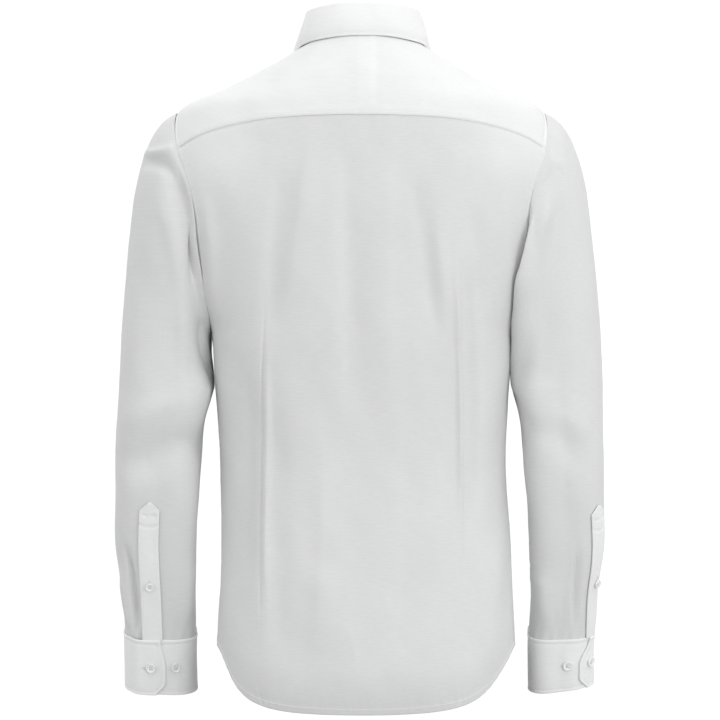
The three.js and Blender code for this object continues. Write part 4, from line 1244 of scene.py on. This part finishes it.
BUTTON, SMALL_BUTTON, BUTTON_THICKNESS = 11, 9.5, 2.6
RIM_WIDTH, SLOPE_WIDTH, MIDDLE_WIDTH = 0.2, 0.12, 0.3      # as shares of the button's radius
DISH, MIDDLE_DIP, RIM_BEVEL = 0.26, 0.06, 0.2              # as shares of its thickness
HOLE_OUT, HOLE_RADIUS = 0.14 * BUTTON * MM, 0.07 * BUTTON * MM


def make_button(name):
    radius, tall = BUTTON / 2 * MM, BUTTON_THICKNESS * MM
    bpy.ops.object.select_all(action="DESELECT")
    bpy.ops.mesh.primitive_cylinder_add(vertices=40, radius=radius, depth=tall, location=(0, 0, tall / 2))
    button = bpy.context.active_object
    button.name = name
    bpy.ops.object.transform_apply(location=True)
    top = tall * 0.99
    bpy.ops.object.mode_set(mode="EDIT")
    bpy.ops.mesh.select_mode(type="FACE")
    bpy.ops.mesh.select_all(action="DESELECT")
    pick_faces(button, lambda f: f.normal.z > 0.9 and f.center.z > top)
    bpy.ops.mesh.inset(thickness=radius * RIM_WIDTH)
    bpy.ops.mesh.inset(thickness=radius * SLOPE_WIDTH)
    bpy.ops.transform.translate(value=(0, 0, -tall * DISH))
    bpy.ops.mesh.inset(thickness=radius * MIDDLE_WIDTH)
    bpy.ops.transform.translate(value=(0, 0, -tall * MIDDLE_DIP))
    bpy.ops.object.mode_set(mode="OBJECT")
    bevel = button.modifiers.new("Rim", "BEVEL")
    bevel.width, bevel.segments, bevel.limit_method = tall * RIM_BEVEL, 3, "ANGLE"
    bevel.angle_limit = math.radians(25)
    only(button)
    bpy.ops.object.modifier_apply(modifier="Rim")
    return button


def drill(button):
    bpy.ops.object.select_all(action="DESELECT")
    for k in range(4):
        turn = (k + 0.5) * math.pi / 2
        place = (HOLE_OUT * math.cos(turn), HOLE_OUT * math.sin(turn), 0)
        bpy.ops.mesh.primitive_cylinder_add(vertices=14, radius=HOLE_RADIUS, depth=0.01, location=place)
        hole = bpy.context.active_object
        cut = button.modifiers.new("Hole", "BOOLEAN")
        cut.object, cut.operation, cut.solver = hole, "DIFFERENCE", "EXACT"
        only(button)
        bpy.ops.object.modifier_apply(modifier="Hole")
        bpy.data.objects.remove(hole, do_unlink=True)
    only(button)
    bpy.ops.object.shade_smooth_by_angle(angle=math.radians(35))


button_model = make_button("button_model")
drill(button_model)
print("one button:", len(button_model.data.polygons), "faces")

# %% [markdown]
# ## Thread in the buttons
# Each button is held by thread that crosses between its holes. A short thin cylinder, with its ends drawn
# down towards the holes, stands for each pass of the thread. A curve with a round bevel would do as well.

# %% Model the thread cross
THREAD_RADIUS, THREAD_HEIGHT, THREAD_TAPER, THREAD_DRAWN = 0.00038, 0.00205, 0.00012, 0.0006      # metres


def make_thread(name):
    bpy.ops.object.select_all(action="DESELECT")
    bpy.ops.mesh.primitive_cylinder_add(vertices=8, radius=THREAD_RADIUS, depth=2 * HOLE_OUT * 1.08,
                                        rotation=(0, math.pi / 2, math.pi / 4),
                                        location=(0, 0, THREAD_HEIGHT))
    thread = bpy.context.active_object
    thread.name = name
    bpy.ops.object.transform_apply(location=True, rotation=True)
    bpy.ops.object.mode_set(mode="EDIT")
    bpy.ops.mesh.select_mode(type="FACE")
    bpy.ops.mesh.select_all(action="DESELECT")
    pick_faces(thread, lambda f: abs(f.normal.x) > 0.6 and len(f.vertices) > 4)
    bpy.ops.mesh.inset(thickness=THREAD_TAPER)
    bpy.ops.transform.translate(value=(0, 0, -THREAD_DRAWN))
    bpy.ops.mesh.select_all(action="SELECT")
    bpy.ops.mesh.duplicate()
    bpy.ops.transform.rotate(value=math.pi / 2, orient_axis="Z", center_override=(0, 0, 0))
    bpy.ops.object.mode_set(mode="OBJECT")
    only(thread)
    bpy.ops.object.shade_smooth()
    return thread


thread_model = make_thread("thread_model")

# %% Place a copy at each button of the frame
BUTTON_NODES = [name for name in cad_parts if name.startswith("button_")]
ARM_AXIS = (0.229, -0.03)      # the middle of a sleeve's foot, in metres
SET_IN = 0.0013                # the button's foot goes this far back from the middle of its plain solid


def button_place(node):
    """The middle of a plain button, and the way that it faces."""
    mesh = bpy.data.objects[node].data
    points = np.array([corner.co for corner in mesh.vertices])
    centre = (points.min(axis=0) + points.max(axis=0)) / 2
    facing = np.linalg.eigh(np.cov((points - centre).T))[1][:, 0]
    axis = np.array([0, 0, centre[2]])
    if "cuff" in node or "placket" in node:
        axis = np.array([math.copysign(ARM_AXIS[0], centre[0]), ARM_AXIS[1], centre[2]])
    if facing @ (centre - axis) < 0:
        facing = -facing
    return centre, facing


def place_copy(model, name, node, grow):
    centre, facing = button_place(node)
    part = "sleeve" if "cuff" in node or "placket" in node else "collar" if "collar" in node else "body"
    moved = drape(centre[None] / MM, facing[None], part)[0] * MM
    turn = Vector(facing).to_track_quat("Z", "Y").to_matrix().to_4x4()
    low = Vector(centre + facing * (moved - SET_IN * grow))
    copy = add_object(name, model.data.copy())
    spin = Matrix.Rotation(random.uniform(-0.3, 0.3), 4, "Z")
    copy.data.transform(Matrix.Translation(low) @ turn @ spin @ Matrix.Diagonal((grow, grow, 1, 1)))
    return copy


HOLE_REACH, HOLE_HALF_WIDTH, HOLE_RAISED = 7.2, 1.25, 0.3
LEVEL_SHIFT, UPRIGHT_SHIFT = 3.5, 1.5


def buttonhole(cloth, node, level):
    """An oval of close stitches that runs out past the button, laid on the cloth under it."""
    centre, facing = button_place(node)
    sideways = np.cross([0, 0, 1.0], facing)
    along = unit(sideways if level else np.cross(-sideways, facing))
    beside, turn = np.cross(facing, along), np.linspace(0, 2 * math.pi, 60)
    outwards = 1 if (along[0] > 0) == (centre[0] >= 0) else -1
    shift = LEVEL_SHIFT * outwards if level else UPRIGHT_SHIFT
    line = centre / MM + (shift + HOLE_REACH * np.cos(turn))[:, None] * along
    line = line + (HOLE_HALF_WIDTH * np.sin(turn))[:, None] * beside
    outer = cloth["outer"].reshape(-1, 3)
    under = np.array([outer[np.argmin(((outer - point) ** 2).sum(axis=1))] for point in line])
    line = line + (((under - line) @ facing) + HOLE_RAISED)[:, None] * facing
    return line, np.tile(facing, (len(line), 1))


hole_cloths = [(stand, ["button_collar"])]
for side in ("left", "right"):
    hole_cloths += [(cuffs[side], [f"button_cuff_{side}_1"]), (plackets[side], [f"button_placket_{side}"])]
hole_cloths.append((placket, [name for name in BUTTON_NODES if name.startswith("button_front")]))
for cloth, nodes in hole_cloths:
    rings = [buttonhole(cloth, name, "cuff" in name or "collar" in name) for name in nodes]
    cloth["holes"] = stitches(cloth["piece"].name + "_buttonholes", rings, pitch=0.9, size=1.6)

buttons = {}
for node in BUTTON_NODES:
    grow = SMALL_BUTTON / BUTTON if "placket" in node else 1
    state = random.bit_generator.state
    disc = place_copy(button_model, f"{node}_disc", node, grow)
    random.bit_generator.state = state
    buttons[node] = (disc, place_copy(thread_model, f"{node}_thread", node, grow))
bpy.data.objects.remove(button_model, do_unlink=True)
bpy.data.objects.remove(thread_model, do_unlink=True)
print(len(buttons), "buttons placed")

# %% [markdown]
# ## Cloth, thread and button finishes
# Pique is a knit or weave with tiny raised cells. The material reads the piece's own weave map, which is
# in metres, so the cells are the same size everywhere. Cells and a streaky noise along the rows go into
# the bump, and vary the colour a little. Where the cloth is doubled it is whiter, because less light passes
# through it. How white it is comes from an attribute, tuned for each piece until its tone looked right: 1
# for plain single cloth, and more on the seams. Near the shoulders the back and its seams are whiter still,
# which is painted highlight, and a line beside the yoke's armhole seams is darker, which is painted shade.
# Thread is matt, and a button is smooth under a thin clear coat.

# %% Helpers for materials
def feed(tree, socket, value):
    """Sets a socket to a number or a colour, or links an output to it."""
    if isinstance(value, bpy.types.NodeSocket):
        tree.links.new(value, socket)
    else:
        socket.default_value = value


def node(tree, kind, **values):
    made = tree.nodes.new(kind)
    for key, value in values.items():
        if key in made.inputs:
            feed(tree, made.inputs[key], value)
        else:
            setattr(made, key, value)
    return made


def math_node(tree, operation, *values):
    made = node(tree, "ShaderNodeMath", operation=operation)
    for socket, value in zip(made.inputs, values):
        feed(tree, socket, value)
    return made.outputs[0]


def new_finish(name):
    material = bpy.data.materials.new(name)
    material.use_nodes = True
    return material, material.node_tree, material.node_tree.nodes["Principled BSDF"]


CELL_WIDTH, CELL_HEIGHT = 0.0016, 0.0013
STREAKS, CLOUDS, CELL_TONE, CELL_BUMP = 0.10, 0.05, 0.006, 0.28
COOL_WHITE = (0.997, 1.0, 1.003)


def pique(name, single, double):
    """single and double are the colours of cloth with the whiteness 1 and 2."""
    material, tree, shader = new_finish(name)
    shader.inputs["Roughness"].default_value = 0.85
    shader.inputs["Specular IOR Level"].default_value = 0.25
    shader.inputs["Sheen Weight"].default_value = 0.12
    shader.inputs["Sheen Roughness"].default_value = 0.45
    weave = node(tree, "ShaderNodeUVMap", uv_map="weave").outputs["UV"]
    apart = node(tree, "ShaderNodeSeparateXYZ", Vector=weave)
    across = math_node(tree, "MULTIPLY", apart.outputs[0], 2 * math.pi / CELL_WIDTH)
    down = math_node(tree, "MULTIPLY", apart.outputs[1], 2 * math.pi / CELL_HEIGHT)
    cells = math_node(tree, "MULTIPLY", math_node(tree, "SINE", across), math_node(tree, "SINE", down))
    stretched = node(tree, "ShaderNodeMapping", Vector=weave, Scale=(90, 700, 1)).outputs[0]
    streaks = node(tree, "ShaderNodeTexNoise", Vector=stretched, Scale=1.0, Detail=3.0, Roughness=0.6)
    place = node(tree, "ShaderNodeTexCoord").outputs["Object"]
    clouds = node(tree, "ShaderNodeTexNoise", Vector=place, Scale=14.0, Detail=2.0)
    whiteness_and_painted_light = node(tree, "ShaderNodeAttribute", attribute_name="whiteness_and_painted_light").outputs["Fac"]
    white = node(tree, "ShaderNodeMapRange", **{
        "Value": whiteness_and_painted_light, "From Min": 1.0, "From Max": 3.0,
        "To Min": single, "To Max": 2 * double - single})
    streaks, clouds = streaks.outputs["Fac"], clouds.outputs["Fac"]
    uneven = math_node(tree, "MULTIPLY", math_node(tree, "SUBTRACT", streaks, 0.5), STREAKS)
    slow = math_node(tree, "MULTIPLY", math_node(tree, "SUBTRACT", clouds, 0.5), CLOUDS)
    tone = math_node(tree, "ADD", white.outputs[0], math_node(tree, "ADD", uneven, slow))
    tone = math_node(tree, "ADD", tone, math_node(tree, "MULTIPLY", cells, CELL_TONE))
    colour = node(tree, "ShaderNodeCombineColor")
    for socket, tint in zip(colour.inputs, COOL_WHITE):
        tree.links.new(math_node(tree, "MULTIPLY", tone, tint), socket)
    relief = math_node(tree, "ADD", math_node(tree, "MULTIPLY", cells, CELL_BUMP), streaks)
    bump = node(tree, "ShaderNodeBump", Height=relief, Strength=0.55, Distance=0.00018)
    feed(tree, shader.inputs["Base Color"], colour.outputs[0])
    feed(tree, shader.inputs["Normal"], bump.outputs[0])
    return material


pique_single = pique("single_pique", 0.69, 0.83)
pique_double = pique("doubled_pique", 0.68, 0.82)
print("cloth finishes:", pique_single.name, pique_double.name)

# %% Thread and button
def plain_finish(name, colour, roughness, coat=0.0, speckle=0.0):
    material, tree, shader = new_finish(name)
    shader.inputs["Roughness"].default_value = roughness
    shader.inputs["Coat Weight"].default_value = coat
    shader.inputs["Coat Roughness"].default_value = 0.12
    place = node(tree, "ShaderNodeTexCoord").outputs["Object"]
    grain = node(tree, "ShaderNodeTexNoise", Vector=place, Scale=420.0, Detail=2.0).outputs["Fac"]
    ramp = node(tree, "ShaderNodeMapRange", **{
        "Value": grain, "To Min": colour - speckle, "To Max": colour + speckle})
    mixed = node(tree, "ShaderNodeCombineColor")
    for socket in mixed.inputs:
        tree.links.new(ramp.outputs[0], socket)
    bump = node(tree, "ShaderNodeBump", Height=grain, Strength=0.2, Distance=0.0001)
    feed(tree, shader.inputs["Base Color"], mixed.outputs[0])
    feed(tree, shader.inputs["Normal"], bump.outputs[0])
    return material


thread_finish = plain_finish("white_thread", 0.88, 0.6, speckle=0.05)
button_finish = plain_finish("polished_button", 0.86, 0.22, coat=0.6, speckle=0.03)
print("small finishes:", thread_finish.name, button_finish.name)

# %% [markdown]
# ## Put each piece on the shirt
# Each new piece rides on the shirt and takes its finish. Each cloth piece and button replaces its plain
# solid.

# %% Finish the cloth pieces
def finish_cloth(cloth, node_name):
    piece, slot = cloth["piece"], "pique_cloth" if cloth["single"] else "doubled_cloth"
    piece.data.materials.append(pique_single if cloth["single"] else pique_double)
    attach(piece, "root")
    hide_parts(node_name)
    sewn_on = [cloth[kind] for kind in ("stitches", "holes") if kind in cloth]
    for thread in sewn_on:
        thread.data.materials.append(thread_finish)
        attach(thread, "root")


finish_cloth(back, "back_panel")
finish_cloth(yoke, "yoke")
finish_cloth(placket, "front_placket")
finish_cloth(stand, "collar_stand")
finish_cloth(leaf, "collar_leaf")
for side in SIDES:
    name, length = side["name"], side["placket_length"] * MM
    finish_cloth(fronts[name], f"front_{name}")
    finish_cloth(sleeves[name], f"sleeve_{name}")
    finish_cloth(cuffs[name], f"cuff_{name}")
    finish_cloth(plackets[name], f"sleeve_placket_{name}")

# %% Finish the buttons
for node_name, (disc, thread) in buttons.items():
    for piece, finish in ((disc, button_finish), (thread, thread_finish)):
        piece.data.materials.clear()
        piece.data.materials.append(finish)
        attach(piece, "root")
    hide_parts(node_name)

# %% [markdown]
# ## Studio
# White shirts are shown on white, so the floor is pale and the light is very soft: even light from all
# round, one large lamp to one side for shape, a weak one on the other side, one above and one in front.
# The camera stands three metres behind the shirt, level with its middle, and looks straight at the back.

# %% Floor and lights
WHITE_TO_CAMERA, SKY_ALL_ROUND, SKY_ABOVE = 1.05, 0.54, 0.95
bpy.ops.object.select_all(action="DESELECT")
bpy.ops.mesh.primitive_circle_add(vertices=64, radius=30, fill_type="NGON", location=(0, 0, -0.80))
floor = bpy.context.active_object
floor.name = "floor"
floor_finish = plain_finish("pale_floor", 0.5, 0.9, speckle=0.01)
tree = floor_finish.node_tree
seen = node(tree, "ShaderNodeLightPath").outputs["Is Camera Ray"]
bright = node(tree, "ShaderNodeEmission", Strength=WHITE_TO_CAMERA)
blend = node(tree, "ShaderNodeMixShader")
for socket, value in zip(blend.inputs, (seen, tree.nodes["Principled BSDF"].outputs[0], bright.outputs[0])):
    tree.links.new(value, socket)
tree.links.new(blend.outputs[0], tree.nodes["Material Output"].inputs["Surface"])
floor.data.materials.append(floor_finish)


def area_light(name, place, aim, size, power):
    data = bpy.data.lights.new(name, "AREA")
    data.shape, data.size, data.energy = "DISK", size, power
    lamp = add_object(name, data)
    lamp.location = place
    lamp.rotation_euler = (Vector(aim) - Vector(place)).to_track_quat("-Z", "Y").to_euler()


area_light("low_side", (-2.0, 2.4, -0.5), (0, 0, -0.3), 1.4, 28)
area_light("far_side", (2.2, 2.2, -0.5), (0, 0, -0.35), 1.4, 4.5)
area_light("high_middle", (0, 2.6, 1.8), (0, 0, -0.3), 1.8, 5)
area_light("front_fill", (0.6, -3.0, 0.8), (0, 0, -0.4), 2.2, 12)
print(len(bpy.data.lights), "lamps")

# %% Light from the sky
world = bpy.data.worlds.new("studio")
bpy.context.scene.world = world
world.use_nodes = True
tree = world.node_tree
sky = node(tree, "ShaderNodeSeparateXYZ", Vector=node(tree, "ShaderNodeTexCoord").outputs["Generated"])
high = math_node(tree, "MULTIPLY", math_node(tree, "MAXIMUM", sky.outputs["Z"], 0.0), SKY_ABOVE)
seen = node(tree, "ShaderNodeLightPath").outputs["Is Camera Ray"]
glow = math_node(tree, "ADD", high, SKY_ALL_ROUND)
unseen = math_node(tree, "MULTIPLY", math_node(tree, "SUBTRACT", 1.0, seen), glow)
strength = math_node(tree, "ADD", unseen, math_node(tree, "MULTIPLY", seen, WHITE_TO_CAMERA))
tree.links.new(strength, tree.nodes["Background"].inputs["Strength"])
tree.nodes["Background"].inputs["Color"].default_value = (1, 1, 1, 1)

# %% Camera
camera_data = bpy.data.cameras.new("camera")
camera_data.lens, camera_data.sensor_width = 133.93, 36
camera_data.clip_end = 60
camera = add_object("camera", camera_data)
camera.location = (0.00336, 3.0, -0.3576)
camera.rotation_euler = (math.radians(90), 0, math.radians(180))
bpy.context.scene.camera = camera
bpy.context.scene.view_settings.view_transform = "Standard"
print("camera at", tuple(camera.location))
